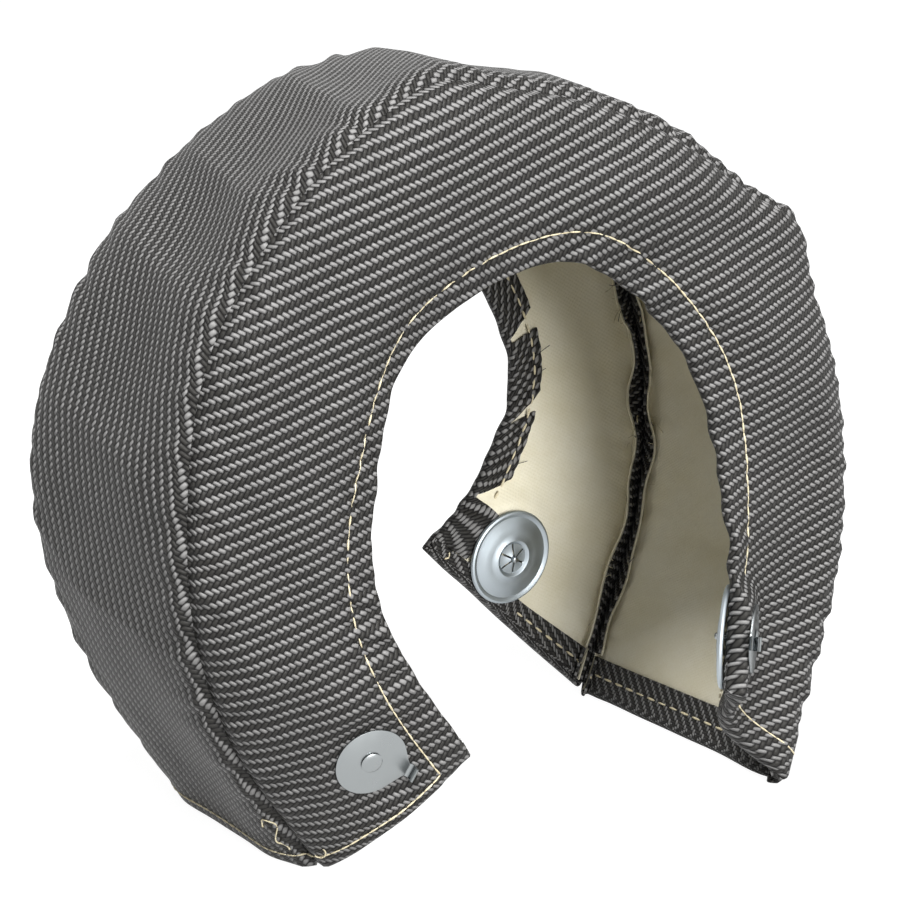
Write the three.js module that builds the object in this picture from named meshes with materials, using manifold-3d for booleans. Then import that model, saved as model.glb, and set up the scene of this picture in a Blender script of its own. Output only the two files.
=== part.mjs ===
// A turbo heat blanket: a sewn, C-shaped insulating cover that stands on its two arm ends. Its front
// face, band and back face are panels of three layers: carbon-look cloth outside, an insulation mat,
// and a silica lining inside. Hems are turned in and notched, seam allowances point inward, and four
// lacing anchors go through the walls near the arm ends. Millimetres, +X right, +Y to the back, +Z up,
// with the origin on the ground at the middle of the part.
import * as THREE from 'three';
import { mergeVertices } from 'three/addons/utils/BufferGeometryUtils.js';
import Module from 'manifold-3d';

const wasm = await Module();
wasm.setup();

// Overall form
const CENTRE_HEIGHT = 110; // height of the middle of the opening above the ground
// Each edge is a curve about that middle, seen from the front. from and to are its two ends in
// degrees, clockwise from straight up. radius and depth are taken at even steps between them. A
// standing edge ends on the ground, which sets its first and last radius.
const EDGES = {
  frontSeam: {
    from: -151,
    to: 132,
    standing: true,
    radius: [126, 109, 113, 134, 159, 156, 157, 155, 164],
    depth: [-38, -47, -52, -50, -47, -46, -44, -49, -62],
  },
  backSeam: {
    from: -145,
    to: 137,
    standing: true,
    radius: [134, 120, 130, 139, 153, 150, 135, 132, 150],
    depth: [43, 49, 48, 49, 50, 51, 53, 51, 51],
  },
  frontOpening: {
    from: -168,
    to: 124,
    radius: [69, 50, 49, 57, 85, 104, 98, 93, 110],
    depth: [-65, -69, -65, -62, -59, -59, -56, -62, -78],
  },
  backOpening: {
    from: -151,
    to: 141,
    radius: [65, 73, 81, 87, 91, 88, 74, 55, 45],
    depth: [55, 55, 55, 55, 55, 55, 54, 54, 50],
  },
};

// The band is folded flat between these shares of the way round, and its front seam stands out at two
// puckered corners.
const FOLDS = [0, 0.18, 0.28, 0.37, 0.42, 0.475, 0.52, 0.58, 0.65, 0.72, 0.81, 0.9, 1];
const FOLD_SAG = 3; // how far the flats lie inside the round form
const CORNERS = [
  { share: 0.515, out: 4 },
  { share: 0.718, out: 8 },
];
const CORNER_WIDTH = 0.022;

// Layers
const CLOTH = 1.0;
const LINING = 0.8;
const MAT_FULL = 4.0;
const MAT_SHOULDER = 2.0; // mat near a seam or under a hem's tab ends
const MAT_HEM = 1.1; // mat pressed flat inside a hem
const GAP = 0.3; // clearance between layers and between sewn pieces
const HEM_GAP = 0.6; // clearance between the lining and the turned-in hem's tabs

// Seams and hems
const SEAM_ALLOWANCE = 8;
const SHOULDER_WIDTH = 8.5;
const SHOULDER_RISE = 3;
const SLOPE_WIDTH = 16;
const SLOPE_RISE = 4;
const CROWN_RISE = 5.5;
const HEM_DEPTH = 16; // how far an opening's hem is turned in
const HEM_RISE = 2;
const END_HEM = 0.022; // an arm end's hem, as a share of the way round
const EDGE_ROUNDING = 1.2;
const NOTCH_WIDTH = 12;
const TABS = 11; // tabs of the turned-in hem round each opening
const STEPS_PER_TAB = 3;

// The front face's hem curls forward at its right arm end
const CURL_START = 0.78;
const CURL_WIDTH = 27;
const CURL_DROP = 11;

// Lacing anchors
const PIN_RADIUS = 1.35;
const PIN_HEAD_RADIUS = 3.75;
const PIN_HEAD_THICKNESS = 0.8;
const PIN_TIP = 2; // how far a pin stands out of its lock cap
const WASHER_RADIUS = 12.7;
const WASHER_THICKNESS = 0.8;
const HOOK_WIDTH = 5;
const HOOK_REACH = 16.5; // from the pin to the hook's outer side
const HOOK_HEIGHT = 4.2;
const HOOK_LIP = 1;
const CAP_RADIUS = 19;
const CAP_SHEET = 0.7;
const CAP_RISE = 3.2;
const CAP_RING_RADIUS = 7.5;
const SLIT_LENGTH = 9;
const SLIT_WIDTH = 0.7;
const FIT = 0.3; // clearance round a pin
const PIN_SIDES = 12;
const CAP_SIDES = 24;
const WASHER_STEPS = 8;

// Where each anchor sits: its share of the way round, its distance from the opening's edge, and the
// way its hook points, in degrees from the opening towards the arm end.
const ANCHORS = [
  { name: 'front_left', panel: 'front', along: 0.068, fromEdge: 28, hook: 64 },
  { name: 'front_right', panel: 'front', along: 0.955, fromEdge: 14, hook: 8 },
  { name: 'back_left', panel: 'back', along: 0.055, fromEdge: 26, hook: 40 },
  { name: 'back_right', panel: 'back', along: 0.95, fromEdge: 32, hook: 40 },
];

// The faces of the layers, numbered inwards from the cloth's outside to the turned-in hem's inside
const [
  OUTSIDE, CLOTH_INSIDE, MAT_OUTSIDE, MAT_INSIDE, LINING_OUTSIDE, LINING_INSIDE, HEM_OUTSIDE, HEM_INSIDE,
] = Array(8).keys();

// The lines across a face, numbered from the end of its seam allowance to the edge of its opening
const FACE_LINES = [...Array(8).keys()];
const [ALLOWANCE_END, SEAM, SHOULDER, SLOPE, CROWN, TAB_END, FOLD, EDGE] = FACE_LINES;

// The lines across the band. The first five are the same, and the rest run to its other seam.
const BAND_LINES = [...Array(9).keys()];
const [OTHER_SHOULDER, OTHER_SEAM] = BAND_LINES.slice(-3);

const UP = new THREE.Vector3(0, 0, 1);
const toRadians = THREE.MathUtils.degToRad;
const lerp = THREE.MathUtils.lerp;

function smooth(value, start, end) {
  return THREE.MathUtils.smoothstep(value, start, end);
}

// The curve of one edge
function edgeCurve(edge) {
  const last = edge.radius.length - 1;
  const points = edge.radius.map((radius, index) => {
    const angle = toRadians(lerp(edge.from, edge.to, index / last));
    const ends = edge.standing && (index === 0 || index === last);
    const reach = ends ? -CENTRE_HEIGHT / Math.cos(angle) : radius;
    return new THREE.Vector3(
      reach * Math.sin(angle),
      edge.depth[index],
      CENTRE_HEIGHT + reach * Math.cos(angle),
    );
  });
  return new THREE.CatmullRomCurve3(points, false, 'catmullrom', 0.5);
}

const CURVES = Object.fromEntries(
  Object.entries(EDGES).map(([name, edge]) => [name, edgeCurve(edge)]),
);

// The part of a vector square to a unit vector, at length one
function squareTo(vector, unit) {
  return vector.clone().addScaledVector(unit, -vector.dot(unit)).normalize();
}

// Depth of each layer face where the mat is as thick as given. Where there is no mat the lining lies
// on the cloth.
function layerDepths(mat) {
  const matOutside = CLOTH + GAP;
  const liningOutside = matOutside + mat + (mat > 0 ? GAP : 0);
  const hemOutside = liningOutside + LINING + HEM_GAP;
  return [
    0,
    CLOTH,
    matOutside,
    matOutside + mat,
    liningOutside,
    liningOutside + LINING,
    hemOutside,
    hemOutside + CLOTH,
  ];
}

// One line of a panel's profile: its outer point, the way to the inside, and the layer depths
function profileLine(point, inward, mat) {
  return { point, inward, depths: layerDepths(mat) };
}

// The seam allowance and the seam line of a panel. into runs along the panel away from the seam and
// beside runs along the neighbouring panel.
function seamLines(seam, into, beside, outward) {
  const allowance = into.clone().add(beside).normalize();
  const aside = squareTo(into, allowance);
  const start = seam.clone().addScaledVector(aside, GAP / 2);
  const slope = into.clone().multiplyScalar(SHOULDER_WIDTH).addScaledVector(outward, SHOULDER_RISE);
  slope.normalize();
  const inward = squareTo(outward.clone().negate(), slope);
  const mitre = inward.clone().add(aside).divideScalar(1 + inward.dot(aside));
  const end = start.clone().addScaledVector(allowance, SEAM_ALLOWANCE);
  return { start, lines: [profileLine(end, aside, 0), profileLine(start, mitre, 0)] };
}

// The way out of a panel. At an arm end it lies level, so that the end is cut flat on the ground.
function outwardOf(along, across, rough, level) {
  const normal = new THREE.Vector3().crossVectors(along, across).normalize();
  if (normal.dot(rough) < 0) normal.negate();
  if (!level) return normal;
  const flat = squareTo(normal, UP);
  return flat.divideScalar(flat.dot(normal));
}

// How far the front seam stands out at a share of the way round
function cornerReach(share) {
  const reaches = CORNERS.map(({ share: at, out }) => {
    const away = (share - at) / CORNER_WIDTH;
    return out * Math.exp(-away * away);
  });
  return reaches.reduce((sum, reach) => sum + reach, 0);
}

function curveAt(name, share) {
  const point = CURVES[name].getPoint(THREE.MathUtils.clamp(share, 0, 1));
  if (name !== 'frontSeam') return point;
  const out = new THREE.Vector3(point.x, 0, point.z - CENTRE_HEIGHT).normalize();
  return point.addScaledVector(out, cornerReach(share));
}

// How far the band lies inside its round form at a share of the way round
function foldSag(share) {
  const last = FOLDS.findIndex((fold, index) => index > 0 && share <= fold);
  const part = (share - FOLDS[last - 1]) / (FOLDS[last] - FOLDS[last - 1]);
  return FOLD_SAG * 4 * part * (1 - part);
}

// The direction of travel round the part, half way between two edges
function travel(first, second, share) {
  const step = 0.01;
  const from = Math.max(0, share - step);
  const to = Math.min(1, share + step);
  const middle = (at) => curveAt(first, at).add(curveAt(second, at));
  return middle(to).sub(middle(from)).normalize();
}

// The outward way of the band, away from the middle of the opening
function bandOutside(share) {
  const middle = curveAt('frontSeam', share).add(curveAt('backSeam', share)).divideScalar(2);
  return new THREE.Vector3(middle.x, 0, middle.z - CENTRE_HEIGHT).normalize();
}

function isEnd(share) {
  return share === 0 || share === 1;
}

// The profile of a face panel, from the end of its seam allowance to the edge of the opening
function faceProfile(seamName, openingName, otherSeam, side, curls, share) {
  const seam = curveAt(seamName, share);
  const edge = curveAt(openingName, share);
  const into = edge.clone().sub(seam);
  const width = into.length();
  into.normalize();
  const along = travel(seamName, openingName, share);
  const out = new THREE.Vector3(0, side, 0);
  const outward = outwardOf(along, into, out, isEnd(share));
  const beside = curveAt(otherSeam, share).sub(seam).normalize();
  const { start, lines } = seamLines(seam, into, beside, outward);
  const curl = curls ? smooth(share, CURL_START, 1 - END_HEM) : 0;
  const place = (across, rise) =>
    start.clone().addScaledVector(into, across).addScaledVector(outward, rise);
  const inward = outward.clone().negate();
  const middle = lerp((SLOPE_WIDTH + width - HEM_DEPTH) / 2, width - CURL_WIDTH, curl);
  const slope = Math.min(SLOPE_WIDTH, middle - SHOULDER_WIDTH);
  const hemStart = Math.max(width - HEM_DEPTH, middle + SHOULDER_WIDTH);
  const crownMat = lerp(MAT_FULL, MAT_SHOULDER, curl);
  const hemRise = lerp(HEM_RISE, -CURL_DROP * (HEM_DEPTH / CURL_WIDTH), curl);
  lines.push(
    profileLine(place(SHOULDER_WIDTH, SHOULDER_RISE), inward, MAT_SHOULDER),
    profileLine(place(slope, lerp(SLOPE_RISE, 0, curl)), inward, MAT_FULL),
    profileLine(place(middle, lerp(CROWN_RISE, -CURL_DROP, curl)), inward, crownMat),
    profileLine(place(hemStart, hemRise), inward, MAT_SHOULDER),
    profileLine(place(width - CLOTH, 0), inward, MAT_HEM),
    profileLine(place(width, 0), inward, MAT_HEM),
  );
  const depths = lines[lines.length - 1].depths;
  depths[OUTSIDE] += EDGE_ROUNDING;
  depths[HEM_INSIDE] -= EDGE_ROUNDING;
  return lines;
}

// The profile of the band, from one seam allowance's end to the other's
function bandProfile(share) {
  const front = curveAt('frontSeam', share);
  const back = curveAt('backSeam', share);
  const into = back.clone().sub(front);
  const width = into.length();
  into.normalize();
  const along = travel('frontSeam', 'backSeam', share);
  const outward = outwardOf(along, into, bandOutside(share), isEnd(share));
  const away = into.clone().negate();
  const beside = (opening, seam) => {
    const way = curveAt(opening, share).sub(seam).normalize();
    return isEnd(share) ? squareTo(way, UP) : way;
  };
  const first = seamLines(front, into, beside('frontOpening', front), outward);
  const second = seamLines(back, away, beside('backOpening', back), outward);
  const place = (across, rise) =>
    front.clone().addScaledVector(into, across).addScaledVector(outward, rise);
  const inward = outward.clone().negate();
  const sag = foldSag(share);
  const rises = [
    [SHOULDER_WIDTH, SHOULDER_RISE, MAT_SHOULDER],
    [SLOPE_WIDTH, SLOPE_RISE - sag / 2, MAT_FULL],
    [width / 2, CROWN_RISE - sag, MAT_FULL],
    [width - SLOPE_WIDTH, SLOPE_RISE - sag / 2, MAT_FULL],
    [width - SHOULDER_WIDTH, SHOULDER_RISE, MAT_SHOULDER],
  ];
  const middle = rises.map(([across, rise, mat]) => profileLine(place(across, rise), inward, mat));
  return [...first.lines, ...middle, ...second.lines.reverse()];
}

// Each panel has a profile function, its lines, and a hem where it has an opening
const PANELS = {
  front: {
    profile: (share) =>
      faceProfile('frontSeam', 'frontOpening', 'backSeam', -1, true, share),
    across: FACE_LINES,
    hem: true,
  },
  band: { profile: bandProfile, across: BAND_LINES, hem: false },
  back: {
    profile: (share) =>
      faceProfile('backSeam', 'backOpening', 'frontSeam', 1, false, share),
    across: FACE_LINES,
    hem: true,
  },
};

// A face's mat and lining end here, just short of the hem's fold
const MAT_EDGE = FOLD - GAP / (HEM_DEPTH - CLOTH);

// The corner of a layer, at a share of the way round, a line across and a depth. Between the arm end
// and the end of its hem, and between two lines, it lies on the straight.
function layerCorner(panel, share, line, depth) {
  const nearEnd = share < END_HEM ? [0, END_HEM] : [1 - END_HEM, 1];
  const inHem = share < END_HEM || share > 1 - END_HEM;
  const at = (where) => {
    const lines = panel.lines.get(where) ?? panel.profile(where);
    panel.lines.set(where, lines);
    const point = (index) => {
      const { point: outer, inward, depths } = lines[index];
      return outer.clone().addScaledVector(inward, depths[depth]);
    };
    const low = Math.floor(line);
    return low === line ? point(low) : point(low).lerp(point(low + 1), line - low);
  };
  if (!inHem || isEnd(share)) return at(share);
  const [from, to] = nearEnd;
  return at(from).lerp(at(to), (share - from) / (to - from));
}

// How far apart the arm end and the end of its hem are, at the least, over all lines
function hemSpacing(panel, lines) {
  const spans = lines.map((line) => {
    const end = layerCorner(panel, 0, line, OUTSIDE);
    const tip = layerCorner(panel, END_HEM, line, OUTSIDE);
    return panel.hem ? end.distanceTo(tip) : Math.abs(tip.z - end.z);
  });
  return Math.min(...spans);
}

// Shares of the way round at which a layer has a line, given how far it stays from the arm ends
function shares(panel, lines, offsets) {
  const spacing = hemSpacing(panel, lines);
  const near = offsets.map((offset) => (END_HEM * offset) / spacing);
  const steps = TABS * STEPS_PER_TAB;
  const round = Array.from({ length: steps + 1 }, (_, step) =>
    lerp(END_HEM, 1 - END_HEM, step / steps),
  );
  return [...near, ...round, ...near.map((share) => 1 - share).reverse()];
}

// A closed geometry of the filled cells of a grid. corner places a grid point for one cell, and parted
// says whether a cell stands apart from the next one in its row.
function cellGeometry(counts, filled, corner, parted) {
  const positions = [];
  const known = new Map();
  const triangles = [];
  const inside = (cell) => cell.every((value, axis) => value >= 0 && value < counts[axis]);
  const isFilled = (cell) => inside(cell) && filled(...cell);
  const vertex = (grid, cell) => {
    const place = corner(grid, cell);
    const key = place.toArray().map((value) => Math.round(value * 1e4)).join(' ');
    if (!known.has(key)) {
      known.set(key, known.size);
      positions.push(place.x, place.y, place.z);
    }
    return known.get(key);
  };
  const addTriangle = (a, b, c) => {
    if (a !== b && b !== c && a !== c) triangles.push(a, b, c);
  };
  const addFace = (cell, axis, far) => {
    const next = (axis + 1) % 3;
    const after = (axis + 2) % 3;
    const turns = [[0, 0], [1, 0], [1, 1], [0, 1]];
    const [a, b, c, d] = turns.map(([first, second]) => {
      const grid = [...cell];
      grid[axis] += far;
      grid[next] += first;
      grid[after] += second;
      return vertex(grid, cell);
    });
    addTriangle(a, far ? b : c, far ? c : b);
    addTriangle(a, far ? c : d, far ? d : c);
  };
  for (let i = 0; i < counts[0]; i += 1) {
    for (let j = 0; j < counts[1]; j += 1) {
      for (let k = 0; k < counts[2]; k += 1) {
        const cell = [i, j, k];
        if (!isFilled(cell)) continue;
        for (let axis = 0; axis < 3; axis += 1) {
          for (const far of [0, 1]) {
            const neighbour = [...cell];
            neighbour[axis] += far ? 1 : -1;
            const apart = axis === 0 && parted(far ? cell : neighbour);
            if (apart || !isFilled(neighbour)) addFace(cell, axis, far);
          }
        }
      }
    }
  }
  const geometry = new THREE.BufferGeometry();
  geometry.setAttribute('position', new THREE.Float32BufferAttribute(positions, 3));
  geometry.setIndex(triangles);
  return volumeOf(geometry) < 0 ? turnedOut(geometry) : geometry;
}

function volumeOf(geometry) {
  const { array } = geometry.getAttribute('position');
  const index = geometry.index.array;
  const point = (at) => new THREE.Vector3().fromArray(array, 3 * at);
  let sum = 0;
  for (let at = 0; at < index.length; at += 3) {
    const cross = point(index[at + 1]).cross(point(index[at + 2]));
    sum += point(index[at]).dot(cross);
  }
  return sum / 6;
}

function turnedOut(geometry) {
  const index = geometry.index.array;
  const turned = [];
  for (let at = 0; at < index.length; at += 3) turned.push(index[at], index[at + 2], index[at + 1]);
  geometry.setIndex(turned);
  return geometry;
}

// The cloth of a panel: its outside, its seam allowance, the folds over its edges, and the hem that
// lies under the lining, with its notches
function clothGeometry(panel) {
  const { across } = panel;
  const endFold = [0, CLOTH];
  const round = shares(panel, across.slice(SEAM, OTHER_SEAM), endFold);
  const depths = [OUTSIDE, CLOTH_INSIDE, HEM_OUTSIDE, HEM_INSIDE];
  const lastAlong = round.length - 2;
  const lastAcross = across.length - 2;
  const hemLayer = 2;
  const hemRow = TAB_END;
  const isAllowance = (j) => j === ALLOWANCE_END || (!panel.hem && j === lastAcross);
  const isEndFold = (i) => i === 0 || i === lastAlong;
  const isEndHem = (i) => Math.min(i, lastAlong - i) < endFold.length;
  const filled = (i, j, k) => {
    if (isAllowance(j)) return k === 0 && !isEndHem(i);
    if (k === 0) return true;
    if (isEndFold(i)) return true;
    if (panel.hem && j === lastAcross) return true;
    if (k !== hemLayer) return false;
    if (panel.hem && j === hemRow) return true;
    const clear = j > SEAM && (panel.hem || j < OTHER_SHOULDER);
    return isEndHem(i) && clear;
  };
  const notched = (i) => {
    const step = i - endFold.length;
    const steps = TABS * STEPS_PER_TAB;
    return panel.hem && step > 0 && step < steps && step % STEPS_PER_TAB === 0;
  };
  const parted = ([i, j, k]) => k === hemLayer && j === hemRow && notched(i + 1);
  const corner = ([i, j, k], cell) => {
    const place = layerCorner(panel, round[i], across[j], depths[k]);
    const onTabEnd = cell[2] === hemLayer && cell[1] === hemRow && j === hemRow;
    if (!onTabEnd || !notched(i)) return place;
    const toOwnSide = cell[0] < i ? -1 : 1;
    const next = layerCorner(panel, round[i + toOwnSide], across[j], depths[k]);
    const step = next.sub(place).normalize();
    return place.addScaledVector(step, NOTCH_WIDTH / 2);
  };
  return cellGeometry([lastAlong + 1, lastAcross + 1, 3], filled, corner, parted);
}

// A sheet between two layer faces: the mat or the lining
function sheetGeometry(panel, across, depths, isIn) {
  const round = shares(panel, panel.across.slice(SEAM, OTHER_SEAM), [CLOTH + GAP]);
  const lastAlong = round.length - 2;
  const filled = (i, j) => isIn(i > 0 && i < lastAlong, j);
  const corner = ([i, j, k]) => layerCorner(panel, round[i], across[j], depths[k]);
  return cellGeometry([lastAlong + 1, across.length - 1, 1], filled, corner, () => false);
}

function matGeometry(panel) {
  const across = panel.hem
    ? [...FACE_LINES.slice(SHOULDER, FOLD), MAT_EDGE]
    : BAND_LINES.slice(SHOULDER, OTHER_SEAM);
  return sheetGeometry(panel, across, [MAT_OUTSIDE, MAT_INSIDE], () => true);
}

function liningGeometry(panel) {
  const across = panel.hem ? [...FACE_LINES.slice(0, FOLD), MAT_EDGE] : BAND_LINES;
  const last = across.length - 2;
  const isAllowance = (j) => j === ALLOWANCE_END || (!panel.hem && j === last);
  const isIn = (pastHem, j) => pastHem || !isAllowance(j);
  return sheetGeometry(panel, across, [LINING_OUTSIDE, LINING_INSIDE], isIn);
}

// Between a geometry and a solid that can be cut and joined
function toSolid(geometry) {
  const bare = geometry.clone();
  bare.deleteAttribute('normal');
  bare.deleteAttribute('uv');
  const merged = mergeVertices(bare, 1e-4);
  const mesh = new wasm.Mesh({
    numProp: 3,
    vertProperties: new Float32Array(merged.getAttribute('position').array),
    triVerts: new Uint32Array(merged.index.array),
  });
  return new wasm.Manifold(mesh);
}

function toGeometry(solid) {
  const mesh = solid.getMesh();
  const geometry = new THREE.BufferGeometry();
  geometry.setAttribute('position', new THREE.BufferAttribute(mesh.vertProperties, 3));
  geometry.setIndex(new THREE.BufferAttribute(mesh.triVerts, 1));
  return geometry;
}

// An anchor's frame: its origin on the cloth's outside, z out of the panel, x along the hook
function anchorFrame(panel, anchor) {
  const at = (share, fromEdge) => {
    const edge = layerCorner(panel, share, EDGE, CLOTH_INSIDE);
    let line = EDGE;
    let previous = edge;
    let left = fromEdge;
    while (line > SEAM) {
      const next = layerCorner(panel, share, line - 1, OUTSIDE);
      const span = next.distanceTo(previous);
      if (span >= left) return previous.clone().lerp(next, left / span);
      left -= span;
      previous = next;
      line -= 1;
    }
    return previous;
  };
  const reach = WASHER_RADIUS / 2;
  const shareStep = 0.012;
  const origin = at(anchor.along, anchor.fromEdge);
  const across = at(anchor.along, anchor.fromEdge - reach).sub(
    at(anchor.along, anchor.fromEdge + reach),
  );
  const round = at(anchor.along + shareStep, anchor.fromEdge).sub(
    at(anchor.along - shareStep, anchor.fromEdge),
  );
  const out = new THREE.Vector3().crossVectors(across, round).normalize();
  const below = layerCorner(panel, anchor.along, CROWN, HEM_INSIDE);
  const above = layerCorner(panel, anchor.along, CROWN, OUTSIDE);
  if (out.dot(above.sub(below)) < 0) out.negate();
  const toEnd = squareTo(round, out).multiplyScalar(anchor.along < 0.5 ? -1 : 1);
  const toOpening = squareTo(squareTo(across, out), toEnd);
  const turn = toRadians(anchor.hook);
  const hook = toOpening.multiplyScalar(Math.cos(turn)).addScaledVector(toEnd, Math.sin(turn));
  const side = new THREE.Vector3().crossVectors(out, hook);
  return new THREE.Matrix4().makeBasis(hook, side, out).setPosition(origin);
}

// A rod along z, centred on the origin
function rod(radius, length, sides) {
  const geometry = new THREE.CylinderGeometry(radius, radius, length, sides);
  return geometry.rotateX(Math.PI / 2);
}

// How far the layers reach out of and into the wall under a round piece of the given radius
function wallReach(layers, frame, radius) {
  const probe = toSolid(rod(radius, 6 * WASHER_RADIUS, CAP_SIDES));
  const back = frame.clone().invert().toArray();
  const boxes = layers.map((layer) => layer.transform(back).intersect(probe).boundingBox());
  return {
    out: Math.max(...boxes.map((box) => box.max[2])),
    in: Math.min(...boxes.map((box) => box.min[2])),
  };
}

// The hook washer: a flat disc that narrows to a strip, bent up into a hook. Its underside is at z 0.
function washerGeometry() {
  const half = HOOK_WIDTH / 2;
  const meet = toRadians(38);
  const outline = new THREE.Shape();
  outline.absarc(0, 0, WASHER_RADIUS, meet, 2 * Math.PI - meet, false);
  outline.lineTo(HOOK_REACH - WASHER_THICKNESS, -half);
  outline.lineTo(HOOK_REACH - WASHER_THICKNESS, half);
  const hole = new THREE.Path();
  hole.absarc(0, 0, PIN_RADIUS + FIT, 0, 2 * Math.PI, true);
  outline.holes.push(hole);
  const settings = { depth: WASHER_THICKNESS, bevelEnabled: false, curveSegments: WASHER_STEPS };
  const disc = toSolid(new THREE.ExtrudeGeometry(outline, settings));
  const inner = HOOK_REACH - WASHER_THICKNESS;
  const bend = WASHER_THICKNESS;
  const hook = new THREE.Shape();
  hook.moveTo(inner - bend, 0);
  hook.lineTo(inner, 0);
  hook.lineTo(HOOK_REACH, bend);
  hook.lineTo(HOOK_REACH, HOOK_HEIGHT - bend);
  hook.lineTo(HOOK_REACH + HOOK_LIP, HOOK_HEIGHT);
  hook.lineTo(HOOK_REACH + HOOK_LIP - bend, HOOK_HEIGHT + bend);
  hook.lineTo(inner, HOOK_HEIGHT);
  hook.lineTo(inner, 2 * bend);
  hook.lineTo(inner - bend, bend);
  const strip = new THREE.ExtrudeGeometry(hook, { depth: HOOK_WIDTH, bevelEnabled: false });
  strip.rotateX(Math.PI / 2).translate(0, half, 0);
  return toGeometry(disc.add(toSolid(strip)));
}

// The lock cap: a dished round sheet with a rolled rim, a raised ring and a slit centre that grips
// the pin. It lies on z 0 and rises along z.
function capGeometry() {
  const hole = PIN_RADIUS + FIT;
  const roll = 2 * CAP_SHEET;
  const ring = CAP_RING_RADIUS;
  const centre = CAP_RISE - 2 * CAP_SHEET;
  const profile = [
    [hole, centre],
    [ring - CAP_SHEET, centre],
    [ring + CAP_SHEET, CAP_RISE - CAP_SHEET / 2],
    [CAP_RADIUS - roll, CAP_SHEET],
    [CAP_RADIUS - CAP_SHEET, 0],
    [CAP_RADIUS, roll],
    [CAP_RADIUS - CAP_SHEET, roll + CAP_SHEET],
    [ring + CAP_SHEET, CAP_RISE + CAP_SHEET],
    [ring - 2 * CAP_SHEET, centre + CAP_SHEET],
    [hole, centre + CAP_SHEET],
    [hole, centre],
  ].map(([radius, height]) => new THREE.Vector2(radius, height));
  const dish = toSolid(new THREE.LatheGeometry(profile, CAP_SIDES).rotateX(Math.PI / 2));
  const slit = () => new THREE.BoxGeometry(SLIT_LENGTH, SLIT_WIDTH, 2 * CAP_RISE);
  const place = (geometry) => toSolid(geometry.translate(0, 0, CAP_RISE));
  const slits = place(slit()).add(place(slit().rotateZ(Math.PI / 2)));
  return toGeometry(dish.subtract(slits));
}

// The pin: a flat head outside and a shaft through the wall. Its head's underside is at z 0.
function pinGeometry(length) {
  const edge = PIN_HEAD_THICKNESS / 2;
  const profile = [
    [0, -length],
    [PIN_RADIUS - edge, -length],
    [PIN_RADIUS, edge - length],
    [PIN_RADIUS, 0],
    [PIN_HEAD_RADIUS, 0],
    [PIN_HEAD_RADIUS, edge],
    [PIN_HEAD_RADIUS - edge, PIN_HEAD_THICKNESS],
    [0, PIN_HEAD_THICKNESS],
  ].map(([radius, height]) => new THREE.Vector2(radius, height));
  return new THREE.LatheGeometry(profile, PIN_SIDES).rotateX(Math.PI / 2);
}

const FINISHES = {
  cloth: new THREE.MeshStandardMaterial({ color: 0x4b4945, roughness: 0.45, metalness: 0.35 }),
  mat: new THREE.MeshStandardMaterial({ color: 0xe6e0cf, roughness: 1 }),
  lining: new THREE.MeshStandardMaterial({ color: 0xcbbf9b, roughness: 0.9 }),
  steel: new THREE.MeshStandardMaterial({ color: 0xbfc2c4, roughness: 0.3, metalness: 1 }),
};

const blanket = new THREE.Group();

function addPiece(parent, name, geometry, finish) {
  const mesh = new THREE.Mesh(geometry, FINISHES[finish]);
  mesh.name = name;
  parent.add(mesh);
}

// Adds an anchor's three pieces and returns the hole that its pin needs
function addAnchor(panel, layers, anchor) {
  const frame = anchorFrame(panel, anchor);
  const washerSeat = wallReach(layers, frame, WASHER_RADIUS).out + GAP;
  const capSeat = wallReach(layers, frame, CAP_RADIUS).in - GAP;
  const headSeat = washerSeat + WASHER_THICKNESS + GAP;
  const group = new THREE.Group();
  group.applyMatrix4(frame);
  const washer = washerGeometry().translate(0, 0, washerSeat);
  const cap = capGeometry().rotateX(Math.PI).translate(0, 0, capSeat);
  const pin = pinGeometry(headSeat - capSeat + CAP_RISE + PIN_TIP).translate(0, 0, headSeat);
  addPiece(group, `${anchor.name}_hook_washer`, washer, 'steel');
  addPiece(group, `${anchor.name}_pin`, pin, 'steel');
  addPiece(group, `${anchor.name}_lock_cap`, cap, 'steel');
  blanket.add(group);
  const hole = toSolid(rod(PIN_RADIUS + FIT, 6 * WASHER_RADIUS, PIN_SIDES));
  return hole.transform(frame.toArray());
}

for (const [name, panel] of Object.entries(PANELS)) {
  panel.lines = new Map();
  let layers = [clothGeometry(panel), matGeometry(panel), liningGeometry(panel)].map(toSolid);
  for (const anchor of ANCHORS.filter((each) => each.panel === name)) {
    const hole = addAnchor(panel, layers, anchor);
    layers = layers.map((layer) => layer.subtract(hole));
  }
  ['cloth', 'mat', 'lining'].forEach((layer, index) => {
    addPiece(blanket, `${name}_${layer}`, toGeometry(layers[index]), layer);
  });
}

// Moves the part so that its origin is at the middle of its footprint
const box = new THREE.Box3().setFromObject(blanket, true);
const centre = box.getCenter(new THREE.Vector3());
blanket.position.set(-centre.x, -centre.y, -box.min.z);

export default blanket;
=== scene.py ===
# %% [markdown]
# # A turbo heat blanket
# A turbine housing runs red hot, so it is wrapped in a sewn blanket. Three panels make this one: a front
# face, a band round the outside and a back face. Each panel is a sandwich of carbon-look cloth, an
# insulation mat and a cream silica lining. The CAD model holds the sizes. This script makes the cloth.

# %% The frame
import math

import bmesh
import bpy
import numpy as np
from mathutils import Matrix, Vector


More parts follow.
